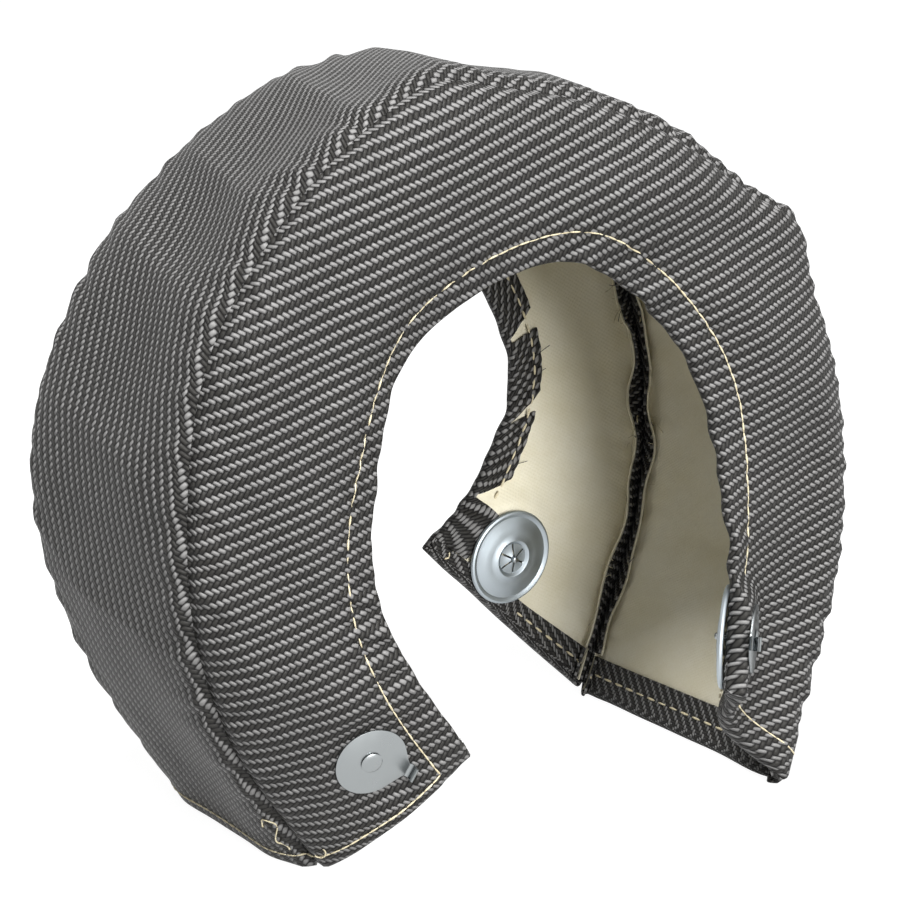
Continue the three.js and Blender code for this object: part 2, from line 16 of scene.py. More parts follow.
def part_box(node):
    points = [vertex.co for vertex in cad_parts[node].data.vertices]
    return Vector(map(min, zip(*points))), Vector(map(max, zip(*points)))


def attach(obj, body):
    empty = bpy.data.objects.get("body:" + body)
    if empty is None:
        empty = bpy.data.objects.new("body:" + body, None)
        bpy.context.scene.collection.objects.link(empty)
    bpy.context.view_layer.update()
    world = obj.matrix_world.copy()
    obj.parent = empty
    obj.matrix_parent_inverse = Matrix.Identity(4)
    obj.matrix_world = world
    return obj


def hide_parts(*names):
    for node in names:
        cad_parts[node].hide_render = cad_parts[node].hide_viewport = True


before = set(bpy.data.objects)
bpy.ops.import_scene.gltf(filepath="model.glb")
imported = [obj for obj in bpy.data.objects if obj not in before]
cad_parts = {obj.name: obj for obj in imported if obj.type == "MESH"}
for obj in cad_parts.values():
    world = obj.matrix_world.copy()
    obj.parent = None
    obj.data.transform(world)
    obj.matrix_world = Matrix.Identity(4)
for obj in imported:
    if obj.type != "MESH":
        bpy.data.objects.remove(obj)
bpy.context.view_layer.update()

MM = 0.001

# %% [markdown]
# The camera comes first. A long lens from 0.87 m away shows the front face, the left side of the band
# and, through the opening, the lining. The distance and the lens together give the object its size in
# the picture, so both are real values, in millimetres.

# %% Camera
VIEW_AZIMUTH = math.radians(29.07)
VIEW_ELEVATION = math.radians(17.8)
CAMERA_DISTANCE = 870
CAMERA_TARGET = Vector((-0.2, 10.87, 130.4))
LENS = 97.44
SENSOR = 36

level = math.cos(VIEW_ELEVATION)
gaze = Vector((
    math.sin(VIEW_AZIMUTH) * level,
    math.cos(VIEW_AZIMUTH) * level,
    -math.sin(VIEW_ELEVATION),
))
camera = bpy.data.objects.new("camera", bpy.data.cameras.new("camera"))
camera.data.lens = LENS
camera.data.sensor_width = SENSOR
camera.location = (CAMERA_TARGET - gaze * CAMERA_DISTANCE) * MM
camera.rotation_euler = gaze.to_track_quat("-Z", "Y").to_euler()
bpy.context.scene.collection.objects.link(camera)
bpy.context.scene.camera = camera
bpy.context.scene.view_settings.view_transform = "Standard"

# %% [markdown]
# Every panel hangs between two edges, and every edge is a curve round the middle of the opening. The
# same nine places as in the CAD model set each one: a radius and a depth at even steps of angle. A
# Catmull-Rom curve goes through its points, so the cloth follows the solid it stands for.

# %% Edges
CENTRE_HEIGHT = 110
PART_SHIFT = np.array([-13.69, 10.74, 0])


def standing(first, last, radius, depth):
    """An edge whose two ends stand on the ground."""
    angle = np.radians([first, last])
    start, end = -CENTRE_HEIGHT / np.cos(angle)
    return hanging(first, last, [start, *radius, end], depth)


def hanging(first, last, radius, depth):
    """An edge from one angle to another, clockwise from straight up."""
    angle = np.radians(np.linspace(first, last, len(radius)))
    height = CENTRE_HEIGHT + radius * np.cos(angle)
    return np.stack([radius * np.sin(angle), depth, height], axis=1) + PART_SHIFT


EDGES = {
    "front_seam": standing(
        -151, 132,
        [109, 113, 134, 159, 156, 157, 155],
        [-38, -47, -52, -50, -47, -46, -44, -49, -62],
    ),
    "back_seam": standing(
        -145, 137,
        [120, 130, 139, 153, 150, 135, 132],
        [43, 49, 48, 49, 50, 51, 53, 51, 51],
    ),
    "front_opening": hanging(
        -168, 124,
        [69, 50, 49, 57, 85, 104, 98, 93, 110],
        [-65, -69, -65, -62, -59, -59, -56, -62, -78],
    ),
    "back_opening": hanging(
        -151, 141,
        [65, 73, 81, 87, 91, 88, 74, 55, 45],
        [55, 55, 55, 55, 55, 55, 54, 54, 50],
    ),
}
CORNERS = [(0.515, 4), (0.718, 8)]
CORNER_WIDTH = 0.022


def unit(vectors):
    return vectors / np.linalg.norm(vectors, axis=-1, keepdims=True)


def square_to(vectors, units):
    """The part of each vector that is square to a unit vector, at length one."""
    share = (vectors * units).sum(-1, keepdims=True)
    return unit(vectors - share * units)


def from_middle(points):
    """The way out from the middle of the opening, seen from the front."""
    away = points - PART_SHIFT - [0, 0, CENTRE_HEIGHT]
    return unit(away * [1, 0, 1])


def on_edge(name, share):
    """Points on an edge at shares of the way round, from the left arm end to the right one."""
    points = EDGES[name]
    spans = len(points) - 1
    ends = [2 * points[0] - points[1], 2 * points[-1] - points[-2]]
    points = np.vstack([ends[:1], points, ends[1:]])
    place = np.clip(share, 0, 1) * spans
    span = np.minimum(place.astype(int), spans - 1)
    t = (place - span)[:, None]
    before, start, end, after = (points[span + step] for step in range(4))
    leave = (end - before) / 2
    arrive = (after - start) / 2
    found = (
        (2 * t**3 - 3 * t**2 + 1) * start
        + (t**3 - 2 * t**2 + t) * leave
        + (3 * t**2 - 2 * t**3) * end
        + (t**3 - t**2) * arrive
    )
    if name == "front_seam":
        out = sum(reach * np.exp(-(((share - at) / CORNER_WIDTH) ** 2)) for at, reach in CORNERS)
        found = found + out[:, None] * from_middle(found)
    return found


print("Lengths of the edges in mm:")
for edge in EDGES:
    steps = np.diff(on_edge(edge, np.linspace(0, 1, 400)), axis=0)
    print(" ", edge, round(float(np.linalg.norm(steps, axis=1).sum())))

# %% [markdown]
# Sewn cloth is never smooth. It puckers at a seam, sinks along a line of stitches, and swells softly in
# between. A sum of sine waves in seeded directions gives such ripples at any wavelength. All three
# layers of a panel read the same ripples, so that no layer breaks through the next.

# %% Ripples
RIPPLE_WAVES = 7


def ripple(along, across, wavelength, seed):
    """A smooth, seeded unevenness of about one millimetre either way."""
    dice = np.random.default_rng(seed)
    total = 0
    for _ in range(RIPPLE_WAVES):
        turn = dice.uniform(0, 2 * math.pi)
        phase = dice.uniform(0, 2 * math.pi)
        pull = 2 * math.pi / (wavelength * dice.uniform(0.7, 1.4))
        total = total + np.sin(pull * (along * math.cos(turn) + across * math.sin(turn)) + phase)
    return total / math.sqrt(RIPPLE_WAVES)


def pucker(along, wavelength, seed):
    """Unevenness along a line only."""
    dice = np.random.default_rng(seed)
    total = 0
    for _ in range(RIPPLE_WAVES):
        pull = 2 * math.pi / (wavelength * dice.uniform(0.6, 1.6))
        total = total + np.sin(pull * along + dice.uniform(0, 2 * math.pi))
    return total / math.sqrt(RIPPLE_WAVES)


def step_up(value, start, end):
    """0 before start, 1 after end, smooth between them."""
    t = np.clip((value - start) / (end - start), 0, 1)
    return t * t * (3 - 2 * t)


# %% [markdown]
# A panel's section is the same all the way round: it leaves the seam, swells over the mat, and thins
# again to the pressed hem at the opening. The band thins to a second seam instead. On its way round
# the band is folded flat between creases, and at the right arm the front face curls forward.

# %% Sections
CLOTH = 1.0
LINING = 0.8
GAP = 0.3
HEM_GAP = 0.6
MAT_FULL = 4.0
MAT_HEM = 1.1
MAT_START = 14
CROWN_RISE = 5.5
LOFT_START = 20
GATHER_BULGE = 1.9
GATHER_WAVE = 1.1
GATHER_REACH = 9
HEM_DEPTH = 16
HEM_FLAT = 32
HEM_ROLL = 2.2
STITCH_LINE = 11.5
END_HEM = 0.022
SEAM_ALLOWANCE = 8
FOLDS = [0, 0.18, 0.28, 0.37, 0.42, 0.475, 0.52, 0.58, 0.65, 0.72, 0.81, 0.9, 1]
FOLD_SAG = 3
CURL_START = 0.78
CURL_DROP = 11
CURL_SEAM_SIDE = 10

PANELS = {
    "front": {"edges": ("front_seam", "front_opening"), "beside": "back_seam", "side": -1, "seed": 11},
    "back": {"edges": ("back_seam", "back_opening"), "beside": "front_seam", "side": 1, "seed": 23},
    "band": {"edges": ("front_seam", "back_seam"), "beside": "front_opening", "side": 0, "seed": 37},
}


def fold_sag(share):
    """How far the flats between the band's creases lie inside its round form."""
    starts = np.array(FOLDS[:-1])
    ends = np.array(FOLDS[1:])
    flat = np.clip(np.searchsorted(FOLDS, share, side="right") - 1, 0, len(starts) - 1)
    part = (share - starts[flat]) / (ends[flat] - starts[flat])
    return FOLD_SAG * 4 * part * (1 - part)


def stations(name, share):
    """Where a panel's section stands at shares of the way round: its seam, its ways and its width."""
    panel = PANELS[name]
    near, far = (on_edge(edge, share) for edge in panel["edges"])
    width = np.linalg.norm(far - near, axis=1)
    into = unit(far - near)
    step = 0.01
    ahead, behind = (
        sum(on_edge(edge, np.clip(share + way, 0, 1)) for edge in panel["edges"])
        for way in (step, -step)
    )
    travel = unit(ahead - behind)
    out = unit(np.cross(travel, into))
    rough = from_middle((near + far) / 2) if name == "band" else np.array([0, panel["side"], 0])
    out = out * np.sign((out * rough).sum(-1, keepdims=True))
    up = np.array([0, 0, 1])
    flat = square_to(out, up)
    flat = flat / (flat * out).sum(-1, keepdims=True)
    is_end = ((share <= 0) | (share >= 1))[:, None]
    out = np.where(is_end, flat, out)
    along = np.concatenate([[0], np.cumsum(np.linalg.norm(np.diff(near, axis=0), axis=1))])
    return {"near": near, "into": into, "width": width, "out": out, "share": share, "along": along}


def gather(from_seam, along, seed):
    """The small bulge beside a seam, where its stitches draw the cloth together."""
    beside = np.exp(-from_seam / GATHER_REACH) * (1 - np.exp(-np.maximum(from_seam, 0) / 2))
    return beside * (GATHER_BULGE + GATHER_WAVE * pucker(along, 12, seed))


def swell(name, at, across):
    """How far the cloth's outside stands out at a distance across, and how thick the mat is there."""
    width = at["width"][:, None]
    share = at["share"][:, None]
    along = at["along"][:, None]
    seed = PANELS[name]["seed"]
    part = np.clip(across / width, 0, 1)
    crown = CROWN_RISE * (1 - (2 * part - 1) ** 4)
    mat = MAT_FULL * step_up(across, 0, MAT_START)
    loft = 0.8 * ripple(along, across, 75, seed) + 0.2 * ripple(along, across, 30, seed + 1)
    gathers = gather(across, along + 0.4 * across, seed + 2)
    left = width - across
    if name == "band":
        loft = 0.6 * loft * step_up(left, 0, LOFT_START)
        mat = mat * step_up(left, 0, MAT_START)
        gathers = gathers + gather(left, along - 0.4 * across, seed + 3)
        rise = crown - fold_sag(share) * np.sin(math.pi * part)
    else:
        roll = HEM_ROLL * step_up(left, 0, STITCH_LINE + 2) * step_up(across, 0, LOFT_START)
        rise = crown * step_up(left, 0, HEM_FLAT) + roll
        if name == "front":
            curl = step_up(share, CURL_START, 1 - END_HEM)
            trough = np.clip((across - CURL_SEAM_SIDE) / (width - CURL_SEAM_SIDE), 0, 1)
            rise = (1 - curl) * rise - curl * CURL_DROP * np.sin(math.pi * trough)
        mat = mat - (MAT_FULL - MAT_HEM) * step_up(across, width - HEM_FLAT, width - HEM_DEPTH / 2)
        from_stitch = left - STITCH_LINE
        groove = 0.8 * np.exp(-((from_stitch / 1.7) ** 2))
        drawn = 0.45 * np.exp(-((from_stitch / 7) ** 2)) * pucker(along, 10, seed + 4)
        edge_wave = 0.9 * step_up(-left, -HEM_DEPTH, 0) * pucker(along, 34, seed + 5)
        gathers = gathers - groove + drawn + edge_wave
        loft = loft * step_up(left, 0, HEM_FLAT)
    loft = loft * step_up(across, 0, LOFT_START)
    return rise + loft + gathers, mat


# %% [markdown]
# Each lacing anchor squeezes the wall: a washer outside, a cap inside, and a pin through both. The
# places come from the CAD model's own pieces. The pin's long axis is found from its points, the washer
# says which way is out, and the washer's farthest point says where its hook is.

# %% Anchors
ANCHORS = ["front_left", "front_right", "back_left", "back_right"]
WASHER_PRESS = (13.5, 25)
CAP_PRESS = (19.5, 29)
ANCHOR_DEPTH = 30


def points_of(node):
    """A CAD node's points, in millimetres."""
    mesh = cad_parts[node].data
    places = np.zeros(3 * len(mesh.vertices))
    mesh.vertices.foreach_get("co", places)
    return places.reshape(-1, 3) / MM


def find_anchor(name):
    """An anchor's centre, its axes along the hook, beside it and out, and where its pieces sit."""
    washer, pin, cap = (points_of(f"{name}_{piece}") for piece in ("hook_washer", "pin", "lock_cap"))
    centre = pin.mean(0)
    axis = np.linalg.svd(pin - centre, full_matrices=False)[2][0]
    out = axis * np.sign((washer.mean(0) - cap.mean(0)) @ axis)
    centre = centre - ((pin - centre) @ out).mean() * out
    away = washer - centre
    away = away - np.outer(away @ out, out)
    hook = unit(away[np.argmax(np.linalg.norm(away, axis=1))])
    sides = {key: (piece - centre) @ out for key, piece in (("washer", washer), ("pin", pin), ("cap", cap))}
    return {
        "centre": centre,
        "axes": np.stack([hook, np.cross(out, hook), out]),
        "washer_seat": sides["washer"].min(),
        "cap_seat": sides["cap"].max(),
        "tip": sides["pin"].min(),
        "head": sides["pin"].max(),
    }


anchors = {name: find_anchor(name) for name in ANCHORS}
for name, anchor in anchors.items():
    print(f"{name}: the wall is squeezed to {anchor['washer_seat'] - anchor['cap_seat']:.1f} mm")

# %% [markdown]
# Now the lines of a sheet. Columns run round the part and rows run across the panel. Each line carries
# a small rule that says where it lies, and how far it has been turned under, from 0 on the outside to 1
# on the turned-in hem. The fold over an edge is a half turn, so it needs no case of its own.

# %% Rows and columns
TABS = 11
TAB_GAP = 0.004
NOTCH = 0.26
FOLD_RADIUS = 2.05
FOLD_STEPS = 6
HEM_ROWS = 8
ALLOWANCE_ROWS = 6
SHEET_INSET = 2.4
TAB_SHARE = (1 - 2 * END_HEM) / TABS


def line(share=0.0, added=0.0, turn=0.0, allowance=0.0, flat=0.0):
    """share of the way plus millimetres added, turn, millimetres of seam allowance, and how much
    farther the line lay on the flat cloth."""
    return {"share": share, "added": added, "turn": turn, "allowance": allowance, "flat": flat}


def fold_lines():
    """A half turn over an edge."""
    made = []
    for angle in np.linspace(0, math.pi, FOLD_STEPS + 1)[1:]:
        back = FOLD_RADIUS * (1 - math.sin(angle))
        flat = FOLD_RADIUS * angle - FOLD_RADIUS + back
        made.append(line(1, -back, (1 - math.cos(angle)) / 2, flat=flat))
    return made


def hem_lines(depth, steps):
    """The turned-in hem, from the fold back under the panel."""
    made = []
    for part in np.linspace(0, 1, steps + 1)[1:]:
        back = FOLD_RADIUS + part * (depth - FOLD_RADIUS)
        made.append(line(1, -back, 1, flat=math.pi * FOLD_RADIUS + 2 * (back - FOLD_RADIUS)))
    return made


def panel_rows(name, count, inset, has_hem):
    """The rows of a sheet, from the end of its seam allowance to the opening or to the other seam."""
    allowances = np.linspace(SEAM_ALLOWANCE, 0, ALLOWANCE_ROWS + 1)[:-1]
    rows = [line(0, allowance=allowance, flat=-allowance) for allowance in allowances]
    end = 0 if name == "band" else inset
    rows += [line(part, -part * end) for part in np.linspace(0, 1, count + 1)]
    if name == "band":
        rows += [line(1, allowance=allowance, flat=allowance) for allowance in allowances[::-1]]
    elif has_hem:
        rows += fold_lines() + hem_lines(HEM_DEPTH, HEM_ROWS)
    return rows


def as_arrays(lines):
    return {key: np.array([each[key] for each in lines]) for key in lines[0]}


def tab_shares(columns):
    """Shares of the way round, tab by tab, with a narrow step between tabs for the notch."""
    shares = []
    for tab in range(TABS):
        start = END_HEM + tab * TAB_SHARE + (TAB_GAP / 2 if tab else 0)
        end = END_HEM + (tab + 1) * TAB_SHARE - (TAB_GAP / 2 if tab < TABS - 1 else 0)
        shares.append(np.linspace(start, end, columns + 1))
    return np.concatenate(shares)


# %% [markdown]
# Placing a line takes three ways: into the panel, out of it, and aside from the neighbouring panel at a
# seam. Near the seam the layers lie aside of each other, as the allowances do. Farther in they lie one
# under another. Towards their free ends the allowances of two panels gape, so the dark cloth shows
# between two cream edges.

# %% Placing
SEAM_BLEND = 5
SEWN = 2.5
GAPE = 2.0
GAPE_WAVE = 1.4
SEAM_SINK = 1.5
SINK_WIDTH = 2.2


def seam_ways(way, towards):
    """The way of a seam's allowance into the part, and the way aside from its neighbour."""
    inward = unit(way + unit(towards))
    return inward[:, None], square_to(way, inward)[:, None]


def place_lines(name, at, rows, layer, more_turn=0.0):
    """Points of the rows at some stations. layer gives a layer's depths outside and in the hem."""
    panel = PANELS[name]
    near, into, out = (at[key][:, None] for key in ("near", "into", "out"))
    across = rows["share"] * at["width"][:, None] + rows["added"]
    rise, mat = swell(name, at, across)
    turn = np.maximum(rows["turn"], more_turn) + 0 * across
    outside, in_hem = layer(mat)
    depth = (outside * (1 - turn) + in_hem * turn)[..., None]
    inward, aside = seam_ways(at["into"], on_edge(panel["beside"], at["share"]) - at["near"])
    from_seam = across
    if name == "band":
        far = on_edge("back_seam", at["share"])
        inward_far, aside_far = seam_ways(-at["into"], on_edge("back_opening", at["share"]) - far)
        is_far = (rows["share"] > 0.5)[:, None]
        inward = np.where(is_far, inward_far, inward)
        aside = np.where(is_far, aside_far, aside)
        from_seam = np.where(is_far[:, 0], at["width"][:, None] - across, across)
    allowance = rows["allowance"][:, None] + 0 * depth
    in_panel = step_up(from_seam, 0, SEAM_BLEND)[..., None]
    mitre = (aside - out) / (1 - (aside * out).sum(-1, keepdims=True))
    under = np.where(allowance > 0, aside, mitre * (1 - in_panel) - out * in_panel)
    along = at["along"][:, None]
    seed = panel["seed"]
    gape = GAPE + GAPE_WAVE * pucker(along, 48, seed + 7)
    free = np.clip((allowance - SEWN) / (SEAM_ALLOWANCE - SEWN), 0, 1)
    gape = np.maximum(gape, 0.3)[..., None] * free**1.3
    uneven = 1 + 0.09 * pucker(along, 7, seed + 8)[..., None]
    points = near + into * across[..., None] + out * rise[..., None] + under * depth
    sink = SEAM_SINK * np.exp(-((from_seam / SINK_WIDTH) ** 2))[..., None]
    return points + aside * gape + inward * (allowance * uneven + sink)


FACE_RIB_ANGLE = math.radians(18)
BAND_RIB_SHARES = [0, 0.3, 0.38, 0.47, 1]
BAND_RIB_ANGLES = [12, 13, 20, 38, 40]
BAND_RIB_SCALE = math.cos(math.radians(25))


def flat_lines(name, at, rows):
    """Where each point lay on the flat cloth, in millimetres along and across the twill's ribs."""
    across = rows["share"] * at["width"][:, None] + rows["added"] + rows["flat"]
    if name == "band":
        slope = np.tan(np.radians(np.interp(at["share"], BAND_RIB_SHARES, BAND_RIB_ANGLES)))
        climbs = np.diff(at["along"]) * (slope[1:] + slope[:-1]) / 2
        climb = np.concatenate([[0], np.cumsum(climbs)])[:, None]
        ribs = at["along"][:, None] + across * slope[:, None]
        return BAND_RIB_SCALE * np.stack([ribs, across - climb], axis=-1)
    flat = (at["near"][:, None] + at["into"][:, None] * across[..., None])[..., [0, 2]]
    turn = FACE_RIB_ANGLE
    x = -PANELS[name]["side"] * flat[..., 0]
    z = flat[..., 1]
    ribs = x * math.cos(turn) + z * math.sin(turn)
    return np.stack([ribs, z * math.cos(turn) - x * math.sin(turn)], axis=-1)


# %% [markdown]
# Round the middle of the panel each column is a share of the way. At an arm end the same rules that
# fold an opening's hem fold the end's hem, only measured along the cloth instead of across it.

# %% Sheets of points
END_COLUMNS = 4
END_HEM_COLUMNS = 9


def end_lines(inset, has_hem):
    """Lines from where an end's hem stops, out to the arm end and, with a hem, back under."""
    made = [line(part, -part * inset) for part in np.linspace(0, 1, END_COLUMNS + 1)[1:]]
    if has_hem:
        made += fold_lines()
        for part in np.linspace(0, 1, END_HEM_COLUMNS + 1)[1:]:
            flat = math.pi * FOLD_RADIUS - 2 * FOLD_RADIUS
            made.append(line(1 - part, -FOLD_RADIUS * (1 - part), 1, flat=flat))
    return made


def sheet_points(name, rows, shares, ends, layer):
    """Points, flat places and turns of a sheet, column by column from one arm end to the other."""
    rows = as_arrays(rows)
    at = stations(name, np.concatenate([[0], shares, [1]]))
    body = {key: value[1:-1] for key, value in at.items()}
    flats = flat_lines(name, at, rows)
    middle = [place_lines(name, body, rows, layer), flats[1:-1], rows["turn"] + 0 * body["share"][:, None]]
    sides = []
    for end, hem in ((0, 1), (-1, -2)):
        tips = {key: value[[hem, end]] for key, value in at.items()}
        outer = place_lines(name, tips, rows, layer)
        length = np.linalg.norm(outer[1] - outer[0], axis=-1)
        columns = []
        for each in ends:
            start, tip = place_lines(name, tips, rows, layer, each["turn"])
            mix = (each["share"] + each["added"] / length)[:, None]
            flat_mix = mix + (each["flat"] / length)[:, None]
            if each["turn"] == 1:
                flat_mix = 2 - mix + (each["flat"] / length)[:, None]
            columns.append((
                start * (1 - mix) + tip * mix,
                flats[hem] * (1 - flat_mix) + flats[end] * flat_mix,
                np.maximum(rows["turn"], each["turn"]),
            ))
        sides.append([np.stack(part) for part in zip(*columns)])
    left, right = sides
    return [np.concatenate([a[::-1], b, c]) for a, b, c in zip(left, middle, right)]


def cut_tabs(values, rows, shares, first):
    """Draws the turned-in hem together into tabs, each narrower towards its free end."""
    tab = np.clip(((shares - END_HEM) / TAB_SHARE).astype(int), 0, TABS - 1)
    middle = END_HEM + (tab + 0.5) * TAB_SHARE
    dice = np.random.default_rng(3)
    narrow = NOTCH * dice.uniform(0.7, 1.35, TABS)[tab]
    skew = dice.uniform(-0.12, 0.12, TABS)[tab] * TAB_SHARE
    last = first + len(shares)
    for index, row in enumerate(rows):
        if row["turn"] < 1:
            continue
        free = (-row["added"] - FOLD_RADIUS) / (HEM_DEPTH - FOLD_RADIUS)
        drawn = middle + (shares - middle) * (1 - narrow * free) + skew * free
        for axis in range(values.shape[-1]):
            lane = values[first:last, index, axis]
            values[first:last, index, axis] = np.interp(drawn, shares, lane)
    return values


def squeeze(points, turn, height, hem_height):
    """Presses a layer flat under the washers and over the caps. The heights say how far its middle
    lies from the washer where it is outside, and from the cap where it is turned in."""
    for anchor in anchors.values():
        local = (points - anchor["centre"]) @ anchor["axes"].T
        radius = np.hypot(local[..., 0], local[..., 1])
        outer = anchor["washer_seat"] - height
        inner = anchor["cap_seat"] + hem_height
        seat = outer * (1 - turn) + inner * turn
        weight = (1 - turn) * (1 - step_up(radius, *WASHER_PRESS))
        weight = weight + turn * (1 - step_up(radius, *CAP_PRESS))
        weight = np.where(np.abs(local[..., 2]) > ANCHOR_DEPTH, 0, weight)
        points = points + (weight * (seat - local[..., 2]))[..., None] * anchor["axes"][2]
    return points


# %% [markdown]
# One function now makes any sheet's mesh. It starts from a flat grid, moves every vertex to its place,
# and deletes the cells that a tailor cuts away: the corners where two hems meet, the allowance at the
# arm ends, and the notches between the tabs. The flat cloth's own coordinates go into the UV map, in
# millimetres, because a weave follows the cloth and not the room.

# %% Sheet meshes
def new_piece(name, mesh, material):
    mesh.materials.append(material)
    mesh.polygons.foreach_set("use_smooth", [True] * len(mesh.polygons))
    made = bpy.data.objects.new(name, mesh)
    bpy.context.scene.collection.objects.link(made)
    return made


def apply_modifiers(piece, sharp):
    """Puts the modifiers into the mesh and marks edges sharper than an angle in degrees."""
    view = bpy.context.evaluated_depsgraph_get()
    mesh = bpy.data.meshes.new_from_object(piece.evaluated_get(view))
    piece.modifiers.clear()
    piece.data = mesh
    mesh.set_sharp_from_angle(angle=math.radians(sharp))


def grid_mesh(name, points, flats, cut):
    """A mesh of a grid of points, without the cells that cut says."""
    columns, rows = points.shape[:2]
    grid = bmesh.new()
    bmesh.ops.create_grid(grid, x_segments=columns - 1, y_segments=rows - 1, size=0.5)
    grid.verts.ensure_lookup_table()
    flat = np.array([vertex.co[:2] for vertex in grid.verts]) + 0.5
    index = np.rint(flat * [columns - 1, rows - 1]).astype(int)
    weave = grid.loops.layers.uv.new("weave")
    doomed = []
    for face in grid.faces:
        corners = [index[vertex.index] for vertex in face.verts]
        column, row = np.min(corners, axis=0)
        if cut[column, row]:
            doomed.append(face)
            continue
        for loop, corner in zip(face.loops, corners):
            loop[weave].uv = flats[corner[0], corner[1]]
    for vertex, (column, row) in zip(grid.verts, index):
        vertex.co = points[column, row] * MM
    bmesh.ops.delete(grid, geom=doomed, context="FACES")
    mesh = bpy.data.meshes.new(name)
    grid.to_mesh(mesh)
    grid.free()
    return mesh


END_ALLOWANCE = 4.1


def cut_cells(name, rows, shares, first, has_hem, columns):
    """Cells of a sheet that are cut away. A short allowance stays at an arm end and closes the seam."""
    last = first + len(shares) - 1
    column = np.arange(last + first)[:, None]
    at_end = (column < first) | (column >= last)
    turn = np.array([row["turn"] for row in rows])
    allowance = np.array([row["allowance"] for row in rows])
    in_allowance = (allowance[:-1] > 0) | (allowance[1:] > 0)
    in_hem = turn[:-1] == 1
    cut = at_end & (in_allowance | in_hem)[None]
    if has_hem:
        before_fold = (column >= first - END_COLUMNS) & (column < last + END_COLUMNS)
        is_short = np.maximum(allowance[:-1], allowance[1:]) <= END_ALLOWANCE
        cut = cut & ~(before_fold & (in_allowance & is_short)[None])
    if has_hem and name != "band":
        between = (column >= first) & (column < last) & ((column - first + 1) % (columns + 1) == 0)
        cut = cut | (between & in_hem[None])
    return cut


def declare_soft(piece, name, layer_name, thickness):
    """Works out a cloth sheet's width and length from its volume and its CAD part, or for the band from
    the length it was cut to; a mat is left out. The sizes are not kept or set anywhere.
    """
    if layer_name == "mat":
        return
    mesh = bmesh.new()
    mesh.from_mesh(piece.data)
    area = mesh.calc_volume() / (thickness * MM)
    mesh.free()
    low, high = (np.array(corner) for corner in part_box(f"{name}_{layer_name}"))
    width, length = (high - low)[0], (high - low)[2]
    if name == "band":
        length = BAND_CUT * MM
        width = area / length


def build_sheet(name, layer_name, layer, material, thickness, across, columns, heights, has_hem):
    """One layer of a panel as a sheet with a real thickness."""
    inset = FOLD_RADIUS if has_hem else SHEET_INSET
    rows = panel_rows(name, across, inset, has_hem)
    if layer_name == "mat":
        rows = [line(part, 3 - 6 * part) for part in np.linspace(0, 1, across + 1)]
    shares = tab_shares(columns)
    ends = end_lines(inset, has_hem)
    points, flats, turn = sheet_points(name, rows, shares, ends, layer)
    if has_hem and name != "band":
        points = cut_tabs(points, rows, shares, len(ends))
        flats = cut_tabs(flats, rows, shares, len(ends))
    turn = turn if has_hem else turn + {"lining": 1, "mat": 0.5}[layer_name]
    points = squeeze(points, turn, *heights)
    points[..., 2] = np.maximum(points[..., 2], thickness / 2)
    cut = cut_cells(name, rows, shares, len(ends), has_hem, columns)
    piece = new_piece(f"{name}_{layer_name}_sheet", grid_mesh(layer_name, points, flats, cut), material)
    solidify = piece.modifiers.new("thickness", "SOLIDIFY")
    solidify.thickness = thickness * MM
    solidify.offset = 0
    apply_modifiers(piece, 50)
    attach(piece, "root")
    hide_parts(f"{name}_{layer_name}")
    declare_soft(piece, name, layer_name, thickness)
    return piece


# %% [markdown]
# Materials are node trees. One small function adds a node, sets it and links what feeds it, so that a
# tree reads like a formula. Colours are written as the hex values that a designer reads off a screen,
# and one function turns them into the linear values that Blender mixes.

# %% Material helpers
def linear(code):
    """A linear colour from an sRGB hex code."""
    parts = [int(code[at:at + 2], 16) / 255 for at in (1, 3, 5)]
    return (*[part / 12.92 if part <= 0.04045 else ((part + 0.055) / 1.055) ** 2.4 for part in parts], 1)


def add(tree, kind, inputs=(), **settings):
    """Adds a node. inputs are sockets, nodes or values, by place or by name."""
    made = tree.nodes.new(f"ShaderNode{kind}")
    for name, value in settings.items():
        setattr(made, name, value)
    for place, value in inputs.items() if isinstance(inputs, dict) else enumerate(inputs):
        if isinstance(value, bpy.types.Node):
            value = value.outputs[0]
        if isinstance(value, bpy.types.NodeSocket):
            tree.links.new(value, made.inputs[place])
        elif value is not None:
            made.inputs[place].default_value = value
    return made


def new_material(name):
    """A named material with an empty tree."""
    material = bpy.data.materials.new(name)
    material.use_nodes = True
    material.node_tree.nodes.clear()
    return material, material.node_tree


def finish_material(tree, shader):
    output = add(tree, "OutputMaterial")
    tree.links.new(shader.outputs[0], output.inputs["Surface"])


# %% [markdown]
# The outer cloth is a twill of flat glass-fibre tows with a silver-grey coating, woven two over and two
# under, each tow shifted by one from the last. That shift draws the diagonal ribs. The pattern is built
# from that rule: a tow shows where its place along the float is below two, and its height is a sine
# along the float times a sine across the tow. Real tows here are 1.45 mm wide. The colours hold painted
# light: the warp tows are lighter than the weft tows, a painted sheen, and the low places between tows
# are near black, a painted shade.

# %% Twill cloth
TOW = 1.45
FLOAT = 4
FAR_OFF = 400


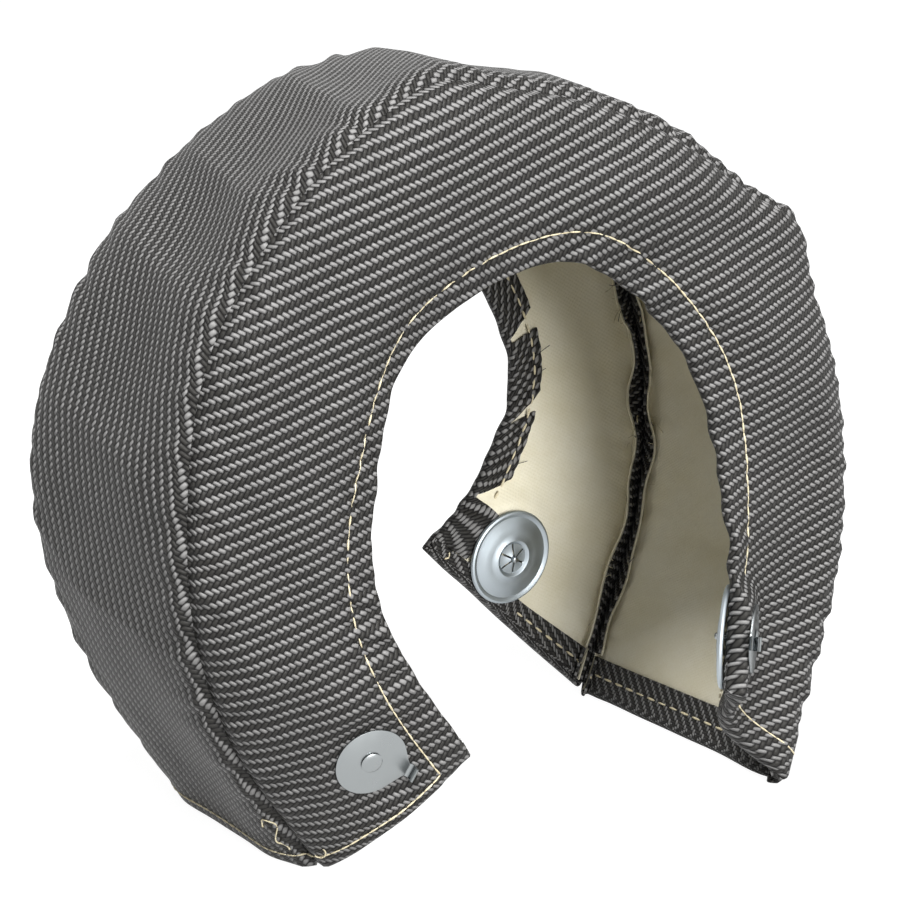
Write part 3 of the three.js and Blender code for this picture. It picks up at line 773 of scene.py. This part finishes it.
def twill_cloth(name, lift, warp_tone_with_painted_sheen, weft_tone_without_sheen, painted_gap_shade, rough):
    """A two-by-two twill of coated glass-fibre tows, coloured with a painted sheen and a painted shade."""
    material, tree = new_material(name)
    place = add(tree, "UVMap", uv_map="weave")
    turned = add(tree, "VectorRotate", [place], rotation_type="Z_AXIS")
    turned.inputs["Angle"].default_value = math.radians(-45)
    wobble = add(tree, "TexNoise", {"Vector": place, "Scale": 0.09, "Detail": 2.0})
    shake = [wobble.outputs["Color"], (0.9, 0.9, 0.0), turned]
    shaken = add(tree, "VectorMath", shake, operation="MULTIPLY_ADD")
    tows = add(tree, "VectorMath", [shaken, (1 / TOW,) * 3, (FAR_OFF,) * 3], operation="MULTIPLY_ADD")
    cell = add(tree, "VectorMath", [tows], operation="FLOOR")
    within = add(tree, "VectorMath", [tows], operation="FRACTION")
    split = add(tree, "SeparateXYZ", [tows])
    swapped = add(tree, "CombineXYZ", [split.outputs[1], split.outputs[0], 0.0])
    summed = add(tree, "VectorMath", [swapped, cell], operation="ADD")
    shifted = add(tree, "VectorMath", [summed, (0.0, 2.0, 0.0)], operation="ADD")
    along = add(tree, "VectorMath", [shifted, (float(FLOAT),) * 3], operation="MODULO")
    quarter = add(tree, "VectorMath", [along, (math.pi / 2,) * 3], operation="MULTIPLY")
    hump = add(tree, "VectorMath", [quarter], operation="SINE")
    shown = add(tree, "VectorMath", [hump, (0.0, 0.0, 0.0)], operation="MAXIMUM")
    half = add(tree, "VectorMath", [within, (math.pi,) * 3], operation="MULTIPLY")
    round_tow = add(tree, "VectorMath", [half], operation="SINE")
    heights = add(tree, "VectorMath", [shown, round_tow], operation="MULTIPLY")
    both = add(tree, "SeparateXYZ", [heights])
    height = add(tree, "Math", [both.outputs[0], both.outputs[1]], operation="MAXIMUM")
    is_warp = add(tree, "Math", [both.outputs[0], both.outputs[1]], operation="GREATER_THAN")
    tone = add(tree, "TexWhiteNoise", [cell], noise_dimensions="3D")
    blotch = add(tree, "TexNoise", {"Vector": place, "Scale": 0.035, "Detail": 3.0})
    streak_way = add(tree, "MixRGB", [is_warp, (0.5, 6.0, 1.0, 1.0), (6.0, 0.5, 1.0, 1.0)])
    streaks_at = add(tree, "VectorMath", [tows, streak_way], operation="MULTIPLY")
    streaks = add(tree, "TexNoise", {"Vector": streaks_at, "Scale": 1.0, "Detail": 1.0})
    # Warp tows take the lighter tone and weft tows the darker one: a painted sheen, as if only the warp
    # caught the light.
    tow_tone_and_painted_sheen = add(tree, "MixRGB", [is_warp, linear(weft_tone_without_sheen), linear(warp_tone_with_painted_sheen)])
    # The low places between tows take the near-black tone: a painted shade in the gaps.
    gap_shade_mix = add(tree, "MapRange", [height, 0.02, 0.55, 0.0, 1.0])
    tows_with_painted_sheen_and_shade = add(tree, "MixRGB", [gap_shade_mix, linear(painted_gap_shade), tow_tone_and_painted_sheen])
    shade = 0.55
    for unevenness, weight in ((tone, 0.16), (streaks, 0.35), (blotch, 0.25)):
        shade = add(tree, "Math", [unevenness.outputs[0], weight, shade], operation="MULTIPLY_ADD")
    coloured = add(tree, "VectorMath", [tows_with_painted_sheen_and_shade, shade], operation="SCALE")
    tree.links.new(shade.outputs[0], coloured.inputs["Scale"])
    relief = add(tree, "Math", [streaks.outputs[0], 0.12, height], operation="MULTIPLY_ADD")
    bump = add(tree, "Bump", {"Height": relief, "Distance": lift * MM, "Strength": 1.0})
    shader = add(tree, "BsdfPrincipled", {
        "Base Color": coloured, "Roughness": rough, "Specular IOR Level": 0.12, "Normal": bump,
    })
    finish_material(tree, shader)
    return material


# Tones: warp tows with a painted sheen, weft tows, and the painted shade between tows.
carbon_twill = twill_cloth("coated_glass_fibre_twill", 0.5, "#858483", "#363533", "#111010", 0.42)

# %% [markdown]
# The lining is a fine, soft silica cloth, cream and dull. Its weave is nearly too fine to see, so it is
# drawn a little coarser than it is, at 0.9 mm, and a slow mottling gives the stains of handling.

# %% Silica lining
LINING_THREAD = 0.9


def silica_cloth(name, pale, warm):
    """A plain weave of silica threads."""
    material, tree = new_material(name)
    place = add(tree, "UVMap", uv_map="weave")
    turned = add(tree, "VectorRotate", [place], rotation_type="Z_AXIS")
    turned.inputs["Angle"].default_value = math.radians(30)
    waves = add(tree, "VectorMath", [turned, (math.pi / LINING_THREAD,) * 3], operation="MULTIPLY")
    sines = add(tree, "VectorMath", [waves], operation="SINE")
    both = add(tree, "SeparateXYZ", [sines])
    checks = add(tree, "Math", [both.outputs[0], both.outputs[1]], operation="MULTIPLY")
    mottle = add(tree, "TexNoise", {"Vector": place, "Scale": 0.03, "Detail": 4.0, "Roughness": 0.6})
    grain = add(tree, "TexNoise", {"Vector": place, "Scale": 0.9, "Detail": 3.0})
    mixed = add(tree, "Math", [grain.outputs[0], 0.35, mottle.outputs[0]], operation="MULTIPLY_ADD")
    share = add(tree, "MapRange", [mixed, 0.42, 0.92, 0.0, 1.0])
    coloured = add(tree, "MixRGB", [share, linear(warm), linear(pale)])
    relief = add(tree, "Math", [checks, 0.5, grain.outputs[0]], operation="MULTIPLY_ADD")
    bump = add(tree, "Bump", {"Height": relief, "Distance": 0.12 * MM, "Strength": 0.8})
    shader = add(tree, "BsdfPrincipled", {
        "Base Color": coloured, "Roughness": 0.85, "Normal": bump, "Sheen Weight": 0.25,
    })
    finish_material(tree, shader)
    return material


silica_lining = silica_cloth("silica_cloth", "#f1ecd9", "#e2dabd")

# %% [markdown]
# The mat between is a needled glass wool. It hardly shows, so it gets a plain fibrous white. The sewing
# thread and the loose yarns are fibres too, finer and twisted, so one function makes them all.

# %% Fibres
def fibrous(name, pale, warm, scale, detail, lift, rough):
    """A dull finish of fine fibres in two tones."""
    material, tree = new_material(name)
    place = add(tree, "TexCoord")
    fibres = add(tree, "TexNoise", {"Vector": place.outputs["Object"], "Scale": scale, "Detail": detail})
    coloured = add(tree, "MixRGB", [fibres.outputs[0], linear(warm), linear(pale)])
    bump = add(tree, "Bump", {"Height": fibres.outputs[0], "Distance": lift * MM})
    shader = add(tree, "BsdfPrincipled", {"Base Color": coloured, "Roughness": rough, "Normal": bump})
    finish_material(tree, shader)
    return material


TWISTED = {"scale": 700.0, "detail": 2.0, "lift": 0.2, "rough": 0.6}
glass_wool = fibrous("needled_glass_wool", "#f0ebdd", "#bdb49c", 900.0, 4.0, 0.4, 0.95)

# %% [markdown]
# Each panel is dressed from the outside in: cloth with its hems, mat, lining. A layer is a pair of
# depths, one on the panel and one inside the hem, which both grow with the mat.

# %% Panels
BAND_CUT = 800


def cloth_layer(mat):
    return CLOTH / 2 + 0 * mat, CLOTH / 2 + 2 * GAP + HEM_GAP + CLOTH + LINING + mat


def mat_layer(mat):
    return CLOTH + GAP + mat / 2, CLOTH + GAP + mat / 2


def lining_layer(mat):
    depth = CLOTH + GAP + mat + GAP * np.minimum(mat, 1) + LINING / 2
    return depth, depth


# Layer, depths, finish, thickness, rows, columns to a tab, room to the washer and to the cap, hem
LAYERS = [
    ("cloth", cloth_layer, carbon_twill, CLOTH, 40, 34, (CLOTH / 2, CLOTH / 2), True),
    ("mat", mat_layer, glass_wool, 1.0, 16, 16, (3.0, 3.0), False),
    ("lining", lining_layer, silica_lining, LINING * 0.8, 36, 26, (6.0, 1.7), False),
]
for panel_name in PANELS:
    for layer in LAYERS:
        build_sheet(panel_name, *layer)

# %% [markdown]
# The hems are held by a cream aramid thread. On the outside its stitches nearly touch, so they read as
# one line. On the inside they are dashes. Each stitch is a slim ball, stretched along the line, whose
# tips dive into the cloth.

# %% Sewing thread
aramid_thread = fibrous("waxed_aramid_thread", "#e9e2c6", "#bfae88", **TWISTED)
OUTER_STITCH = {"pitch": 4.0, "length": 4.3, "radius": 0.36, "seed": 5}
INNER_STITCH = {"pitch": 6.0, "length": 4.2, "radius": 0.5, "seed": 6}
END_STITCH = 0.42
PROUD = 0.12


def join(mesh, piece):
    """Moves what is in one bmesh into another."""
    carrier = bpy.data.meshes.new("carrier")
    piece.to_mesh(carrier)
    piece.free()
    mesh.from_mesh(carrier)
    bpy.data.meshes.remove(carrier)


def sew(mesh, points, pitch, length, radius, seed):
    """Stitches along a line of points. They are made in a mesh of their own, which is quicker."""
    row = bmesh.new()
    dice = np.random.default_rng(seed)
    spans = np.linalg.norm(np.diff(points, axis=0), axis=1)
    travelled = np.concatenate([[0], np.cumsum(spans)])
    count = int(travelled[-1] / pitch)
    for stitch in range(count):
        at = (stitch + 0.5) * travelled[-1] / count
        ends = [at - length / 2, at + length / 2]
        start, end = (
            Vector([np.interp(place, travelled, points[:, axis]) for axis in range(3)]) for place in ends
        )
        way = end - start
        turn = way.to_track_quat("Z", "Y").to_matrix().to_4x4()
        round_off = radius * dice.uniform(0.85, 1.15)
        shape = Matrix.Diagonal((round_off, round_off, way.length / 2, 1))
        place = Matrix.Translation((start + end) / 2) @ turn @ shape
        bmesh.ops.create_uvsphere(row, u_segments=6, v_segments=5, radius=1, matrix=place)
    join(mesh, row)


def hem_line(name, side, turn, layer):
    """The line of stitches round an opening, or along an arm end where side is left or right."""
    shares = np.linspace(END_HEM, 1 - END_HEM, 300)
    if side == "opening":
        rows = [line(1, -STITCH_LINE, turn)]
        points, _, _ = sheet_points(name, rows, shares, [line(END_STITCH)], layer)
        return points[:, 0]
    inset = 0 if name == "band" else STITCH_LINE
    rows = [line(part, -part * inset, turn) for part in np.linspace(0, 1, 40)]
    points, _, _ = sheet_points(name, rows, shares, [line(END_STITCH, 0, turn)], layer)
    return points[0 if side == "left" else -1]


def outside_thread(mat):
    """The thread's depths: just outside the cloth, and just inside its hem."""
    return 0 * mat - PROUD, CLOTH + 2 * GAP + HEM_GAP + CLOTH + LINING + mat + PROUD


def new_mesh(name, mesh):
    """Writes a bmesh in millimetres to a mesh in metres."""
    bmesh.ops.scale(mesh, vec=(MM, MM, MM), verts=mesh.verts)
    made = bpy.data.meshes.new(name)
    mesh.to_mesh(made)
    mesh.free()
    return made


for panel_name in PANELS:
    stitches = bmesh.new()
    sides = ["left", "right"] if panel_name == "band" else ["opening", "left", "right"]
    for side in sides:
        for turn, stitch in ((0, OUTER_STITCH), (1, INNER_STITCH)):
            sew(stitches, hem_line(panel_name, side, turn, outside_thread), **stitch)
    thread = new_piece(f"{panel_name}_hem_thread", new_mesh("thread", stitches), aramid_thread)
    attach(thread, "root")

# %% [markdown]
# Cut cloth frays. Here and there a yarn leaves the raw edge of a hem or of a seam allowance, dark from
# the twill and cream from the lining. The sewer also left a cross-stitch in a corner and thread tails.
# Each of these is a short curve, and the slim balls overlap along it, so they read as one strand.

# %% Frays and tails
STRAND = {"pitch": 1.2, "length": 2.0}
FRAY_REACH = (2.0, 6.5)


def raw_edge(name, edge, inner, layer):
    """A raw edge, tab by tab, and a line just inside it."""
    tab = np.repeat(np.arange(TABS), 12)
    place = 0.5 + 0.28 * np.tile(np.linspace(-1, 1, 12), TABS)
    shares = END_HEM + (tab + place) * TAB_SHARE
    points = place_lines(name, stations(name, shares), as_arrays([edge, inner]), layer)
    return points[:, 0], points[:, 1]


def fray(mesh, edges, count, thickness, seed):
    """Loose yarns that leave a raw edge."""
    edge, inner = edges
    dice = np.random.default_rng(seed)
    t = np.linspace(-0.25, 1, 8)[:, None]
    for start in dice.integers(0, len(edge), count):
        away = unit(edge[start] - inner[start])
        aside = dice.normal(size=3)
        reach = dice.uniform(*FRAY_REACH)
        yarn = edge[start] + reach * (away * t + 0.35 * aside * np.maximum(t, 0) ** 2)
        sew(mesh, yarn, radius=thickness * dice.uniform(0.7, 1.2), seed=seed, **STRAND)


def on_panel(name, path, layer):
    """Points on a panel from pairs of a share of the way and millimetres across."""
    shares, across = np.array(path).T
    fine = np.linspace(0, len(path) - 1, 12 * len(path))
    order = np.arange(len(path))
    soften = np.ones(15) / 15
    shares, across = (
        np.convolve(np.interp(fine, order, values), soften, "valid") for values in (shares, across)
    )
    rows = as_arrays([line(0, distance) for distance in across])
    points = place_lines(name, stations(name, shares), rows, layer)
    return points[np.arange(len(shares)), np.arange(len(shares))]


twill_yarn = fibrous("loose_glass_fibre_yarn", "#55534f", "#1b1a19", **TWISTED)
silica_yarn = fibrous("loose_silica_yarn", "#e8e2cc", "#c4ba9a", **TWISTED)
allowance_edge = [line(0, allowance=SEAM_ALLOWANCE), line(0, allowance=SEAM_ALLOWANCE - 1)]
far_allowance_edge = [line(1, allowance=SEAM_ALLOWANCE), line(1, allowance=SEAM_ALLOWANCE - 1)]
hem_edge = [line(1, -HEM_DEPTH, 1), line(1, -HEM_DEPTH + 1, 1)]
for layer_name, layer, yarn, thickness, counts in (
    ("cloth", cloth_layer, twill_yarn, 0.18, (26, 16)),
    ("lining", lining_layer, silica_yarn, 0.18, (70, 0)),
):
    yarns = bmesh.new()
    for panel_name in PANELS:
        seed = PANELS[panel_name]["seed"]
        other = far_allowance_edge if panel_name == "band" else hem_edge
        fray(yarns, raw_edge(panel_name, *allowance_edge, layer), counts[0], thickness, seed)
        fray(yarns, raw_edge(panel_name, *other, layer), counts[panel_name != "band"], thickness, seed + 1)
    frayed = new_piece(f"{layer_name}_frays", new_mesh("frays", yarns), yarn)
    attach(frayed, "root")

CROSS_HALF = 2.6
tails = bmesh.new()
end_line = hem_line("back", "right", 1, outside_thread)
opening_line = hem_line("back", "opening", 1, outside_thread)
down_end = unit(end_line[-1] - end_line[-4])
down_opening = unit(opening_line[-1] - opening_line[-4])
for way in (down_end + down_opening, down_end - down_opening):
    arm = CROSS_HALF * unit(way)
    ends = np.array([end_line[-1] - arm, end_line[-1] + arm])
    sew(tails, ends, pitch=5.0, length=5.0, radius=0.5, seed=8)
for panel_name, path in (
    ("band", [(0.016, 2), (0.024, 5), (0.034, 4), (0.045, 1.5), (0.052, 4), (0.047, 7), (0.036, 8)]),
    ("front", [(0.02, 3), (0.012, 5), (0.016, 9), (0.024, 7)]),
):
    sew(tails, on_panel(panel_name, path, outside_thread), radius=0.3, seed=9, **STRAND)
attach(new_piece("thread_tails", new_mesh("tails", tails), aramid_thread), "root")

# %% [markdown]
# The lacing anchors are stamped from stainless sheet. The lock cap is spun: a rolled rim, a dish, a
# ring, and a centre slit like a star whose teeth bite the pin. The hook washer is a disc that narrows
# to a strip, and the strip is bent by spinning its end face round the bend's axis.

# %% Stainless steel
def stainless(name, tone, rough):
    """Stamped stainless sheet with fine tumbling marks."""
    material, tree = new_material(name)
    place = add(tree, "TexCoord")
    marks = add(tree, "TexNoise", {"Vector": place.outputs["Object"], "Scale": 450.0, "Detail": 5.0})
    cloudy = add(tree, "TexNoise", {"Vector": place.outputs["Object"], "Scale": 90.0, "Detail": 2.0})
    roughness = add(tree, "MapRange", [cloudy.outputs[0], 0.3, 0.7, rough - 0.06, rough + 0.1])
    bump = add(tree, "Bump", {"Height": marks.outputs[0], "Distance": 0.05 * MM, "Strength": 0.5})
    shader = add(tree, "BsdfPrincipled", {
        "Base Color": linear(tone), "Roughness": roughness, "Metallic": 1.0, "Normal": bump,
    })
    finish_material(tree, shader)
    return material


stamped_steel = stainless("tumbled_stainless_sheet", "#949899", 0.3)
# The cap's steel is the same stainless with a rougher satin finish. Its paler, bluer tone is partly the
# steel's own and partly a painted reflection of light.
satin_steel_painted_reflection = stainless("satin_stainless_sheet_painted_reflection", "#a9b1b6", 0.5)
TURN_STEPS = 64
SHEET = 0.8


def spin_profile(mesh, profile, closed):
    """Turns a profile of radius and height round the pin's axis."""
    corners = [mesh.verts.new((radius, 0, height)) for radius, height in profile]
    pairs = list(zip(corners, corners[1:] + corners[:1])) if closed else list(zip(corners, corners[1:]))
    edges = [mesh.edges.new(pair) for pair in pairs]
    bmesh.ops.spin(
        mesh, geom=corners + edges, cent=(0, 0, 0), axis=(0, 0, 1), angle=2 * math.pi,
        steps=TURN_STEPS, use_merge=True,
    )
    bmesh.ops.remove_doubles(mesh, verts=mesh.verts, dist=0.001)
    bmesh.ops.recalc_face_normals(mesh, faces=mesh.faces)


def seat_piece(mesh, anchor, name, node, steel=stamped_steel):
    """Puts a piece made round z in its anchor's place and shows it for its CAD node."""
    axes = anchor["axes"]
    place = Matrix([[*axes[:, row], anchor["centre"][row]] for row in range(3)] + [[0, 0, 0, 1]])
    bmesh.ops.transform(mesh, matrix=place, verts=mesh.verts)
    piece = new_piece(name, new_mesh(name, mesh), steel)
    piece.data.set_sharp_from_angle(angle=math.radians(35))
    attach(piece, "root")
    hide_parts(node)


CAP_RADIUS = 19
CAP_RING = 7.5
TEETH = 6
TOOTH_GAP = 0.75
PIN_RADIUS = 1.35
CAP_SKIN = 0.6


def lock_cap(anchor):
    """The cap's dish as one spun sheet, and its teeth as bent wedges."""
    cap = bmesh.new()
    seat = anchor["cap_seat"]
    outer = [
        (CAP_RADIUS - 0.9, 0.1), (CAP_RADIUS - 0.3, 0.4), (CAP_RADIUS, 1.1),
        (CAP_RADIUS - 0.3, 1.8), (CAP_RADIUS - 1.0, 2.15), (CAP_RADIUS - 1.8, 1.9),
        (CAP_RADIUS - 2.5, 1.45), (CAP_RADIUS - 3.6, 1.6),
        (13.0, 2.3), (10.4, 2.75), (CAP_RING + 1.3, 2.85), (CAP_RING + 0.6, 3.3), (CAP_RING, 3.5),
        (CAP_RING - 0.6, 3.25), (CAP_RING - 1.1, 2.6), (CAP_RING - 1.6, 2.35),
    ]
    inner = [(radius, height - CAP_SKIN) for radius, height in outer[:4:-1]]
    spin_profile(cap, [(radius, seat - height) for radius, height in outer + inner], True)
    wedge = 2 * math.pi / TEETH
    start = CAP_RING - 1.5
    for tooth in range(TEETH):
        teeth = bmesh.new()
        bmesh.ops.create_grid(teeth, x_segments=5, y_segments=4, size=0.5)
        for vertex in teeth.verts:
            radius = PIN_RADIUS + 0.15 + (vertex.co.x + 0.5) * (start - PIN_RADIUS)
            half = wedge / 2 - TOOTH_GAP / 2 / radius
            angle = wedge * tooth + 2 * vertex.co.y * half
            height = 2.2 + 0.9 * (1 - (vertex.co.x + 0.5)) ** 2
            vertex.co = (radius * math.cos(angle), radius * math.sin(angle), seat - height)
        bmesh.ops.solidify(teeth, geom=teeth.faces[:], thickness=0.5)
        bmesh.ops.recalc_face_normals(teeth, faces=teeth.faces)
        join(cap, teeth)
    return cap


def pin(anchor):
    """The pin, with a flat head outside and a blunt tip inside."""
    made = bmesh.new()
    head, tip = anchor["head"], anchor["tip"]
    spin_profile(made, [
        (0, head), (2.2, head - 0.03), (3.3, head - 0.22), (3.75, head - 0.5), (3.6, head - SHEET),
        (PIN_RADIUS, head - SHEET), (PIN_RADIUS, tip + 0.9), (1.1, tip + 0.3), (0.6, tip + 0.05), (0, tip),
    ], False)
    return made


WASHER_RADIUS = 12.7
HOOK_REACH = 16.5
HOOK_HALF = 2.5
BEND_RADIUS = 1.2
HOOK_STAND = 1.2
LIP_RADIUS = 1.2
NECK_ANGLE = math.radians(38)
NECK_SLOPE = 1.6
OVERLAP = 0.4


def hook_washer(anchor):
    """A disc that narrows to a strip, bent up and out into a hook."""
    made = bmesh.new()
    seat = anchor["washer_seat"]
    bmesh.ops.create_circle(made, cap_ends=True, segments=TURN_STEPS, radius=WASHER_RADIUS)
    strip_end = HOOK_REACH - BEND_RADIUS - SHEET
    for vertex in made.verts:
        angle = math.atan2(vertex.co.y, vertex.co.x)
        if abs(angle) < NECK_ANGLE:
            share = min(1, (NECK_ANGLE - abs(angle)) / NECK_ANGLE * NECK_SLOPE)
            side = math.copysign(HOOK_HALF, angle)
            vertex.co.x += (strip_end - vertex.co.x) * share
            if share < 1:
                vertex.co.y += (side - vertex.co.y) * share
            else:
                vertex.co.y = side * min(1, abs(angle) / (NECK_ANGLE * (1 - 1 / NECK_SLOPE)))
    raised = bmesh.ops.extrude_face_region(made, geom=made.faces[:])["geom"]
    bmesh.ops.translate(
        made, vec=(0, 0, SHEET), verts=[each for each in raised if isinstance(each, bmesh.types.BMVert)]
    )
    bmesh.ops.recalc_face_normals(made, faces=made.faces)
    rims = [edge for edge in made.edges if len(edge.link_faces) == 2 and edge.calc_face_angle() > 1]
    bmesh.ops.bevel(
        made, geom=rims, offset=0.16, offset_type="OFFSET", segments=2, profile=0.5, affect="EDGES",
        material=-1,
    )
    strip = bmesh.new()
    bmesh.ops.create_grid(strip, x_segments=1, y_segments=1, size=0.5)
    upright = Matrix.Rotation(math.radians(90), 4, "Y")
    size = Matrix.Diagonal((1, 2 * HOOK_HALF, SHEET, 1))
    place = Matrix.Translation((strip_end - OVERLAP, 0, SHEET / 2))
    bmesh.ops.transform(strip, matrix=place @ size @ upright, verts=strip.verts)
    face = strip.faces[:]

    def lead_on(vec):
        nonlocal face
        moved = bmesh.ops.extrude_face_region(strip, geom=face)["geom"]
        face = [each for each in moved if isinstance(each, bmesh.types.BMFace)]
        corners = [each for each in moved if isinstance(each, bmesh.types.BMVert)]
        bmesh.ops.translate(strip, vec=vec, verts=corners)

    def bend(centre, angle, steps):
        nonlocal face
        spun = bmesh.ops.spin(
            strip, geom=face, cent=centre, axis=(0, -1, 0), angle=angle, steps=steps, use_duplicate=False
        )
        face = [each for each in spun["geom_last"] if isinstance(each, bmesh.types.BMFace)]

    lead_on((OVERLAP, 0, 0))
    bend((strip_end, 0, SHEET + BEND_RADIUS), math.radians(90), 6)
    lead_on((0, 0, HOOK_STAND))
    top = SHEET + BEND_RADIUS + HOOK_STAND
    bend((strip_end + BEND_RADIUS + SHEET + LIP_RADIUS, 0, top), math.radians(-40), 4)
    bmesh.ops.remove_doubles(strip, verts=strip.verts, dist=0.001)
    bmesh.ops.recalc_face_normals(strip, faces=strip.faces)
    join(made, strip)
    bmesh.ops.translate(made, vec=(0, 0, seat), verts=made.verts)
    return made


for name, anchor in anchors.items():
    seat_piece(hook_washer(anchor), anchor, f"{name}_hook_washer_bent", f"{name}_hook_washer")
    seat_piece(pin(anchor), anchor, f"{name}_pin_turned", f"{name}_pin")
    seat_piece(lock_cap(anchor), anchor, f"{name}_lock_cap_spun", f"{name}_lock_cap", satin_steel_painted_reflection)
print("Anchors fitted:", len(anchors))

# %% [markdown]
# The floor is a large pale plane. Seen straight by the camera, or in a reflection, it and the world are
# plain white, as in a product picture. One soft lamp hangs above and to the left, and a second one in
# front lights the face and, through the opening, the lining.

# %% Floor and light
def seen_straight(tree):
    """1 where the camera or a reflection sees a surface, and 0 where it only lights the object."""
    rays = add(tree, "LightPath")
    straight = [rays.outputs["Is Camera Ray"], rays.outputs["Is Glossy Ray"]]
    return add(tree, "Math", straight, operation="MAXIMUM")


def floor_paint(name, tone, glow):
    """A matt pale floor that looks white to the camera and in reflections, but keeps its shadows."""
    material, tree = new_material(name)
    lift = add(tree, "Math", [seen_straight(tree), glow], operation="MULTIPLY")
    paint = add(tree, "BsdfDiffuse", {"Color": linear(tone)})
    shine = add(tree, "Emission", {"Color": linear("#ffffff"), "Strength": lift})
    finish_material(tree, add(tree, "AddShader", [paint, shine]))
    return material


floor_mesh = bpy.data.meshes.new("floor")
floor_grid = bmesh.new()
bmesh.ops.create_grid(floor_grid, x_segments=1, y_segments=1, size=4)
floor_grid.to_mesh(floor_mesh)
floor_grid.free()
floor = new_piece("floor", floor_mesh, floor_paint("matt_floor_paint", "#868686", 0.94))
floor.location.z = -0.0005


def softbox(name, place, aim, size, watts):
    """A round, soft lamp that faces a point."""
    lamp = bpy.data.lights.new(name, "AREA")
    lamp.shape = "DISK"
    lamp.size = size
    lamp.energy = watts
    made = bpy.data.objects.new(name, lamp)
    made.location = place
    made.rotation_euler = (Vector(aim) - Vector(place)).to_track_quat("-Z", "Y").to_euler()
    bpy.context.scene.collection.objects.link(made)


softbox("key_light", (-0.45, -0.6, 1.95), (0, 0, 0.13), 0.7, 62)
softbox("fill_light", (0.1, -2.1, 0.55), (0, 0, 0.12), 1.0, 52)

SKY_LIGHT = 0.28
world = bpy.data.worlds.new("studio")
world.use_nodes = True
world.node_tree.nodes.clear()
bpy.context.scene.world = world
sky = world.node_tree
strength = add(sky, "MapRange", [seen_straight(sky), 0.0, 1.0, SKY_LIGHT, 1.0])
backdrop = add(sky, "Background", {"Color": linear("#ffffff"), "Strength": strength})
sky_output = add(sky, "OutputWorld")
sky.links.new(backdrop.outputs[0], sky_output.inputs["Surface"])
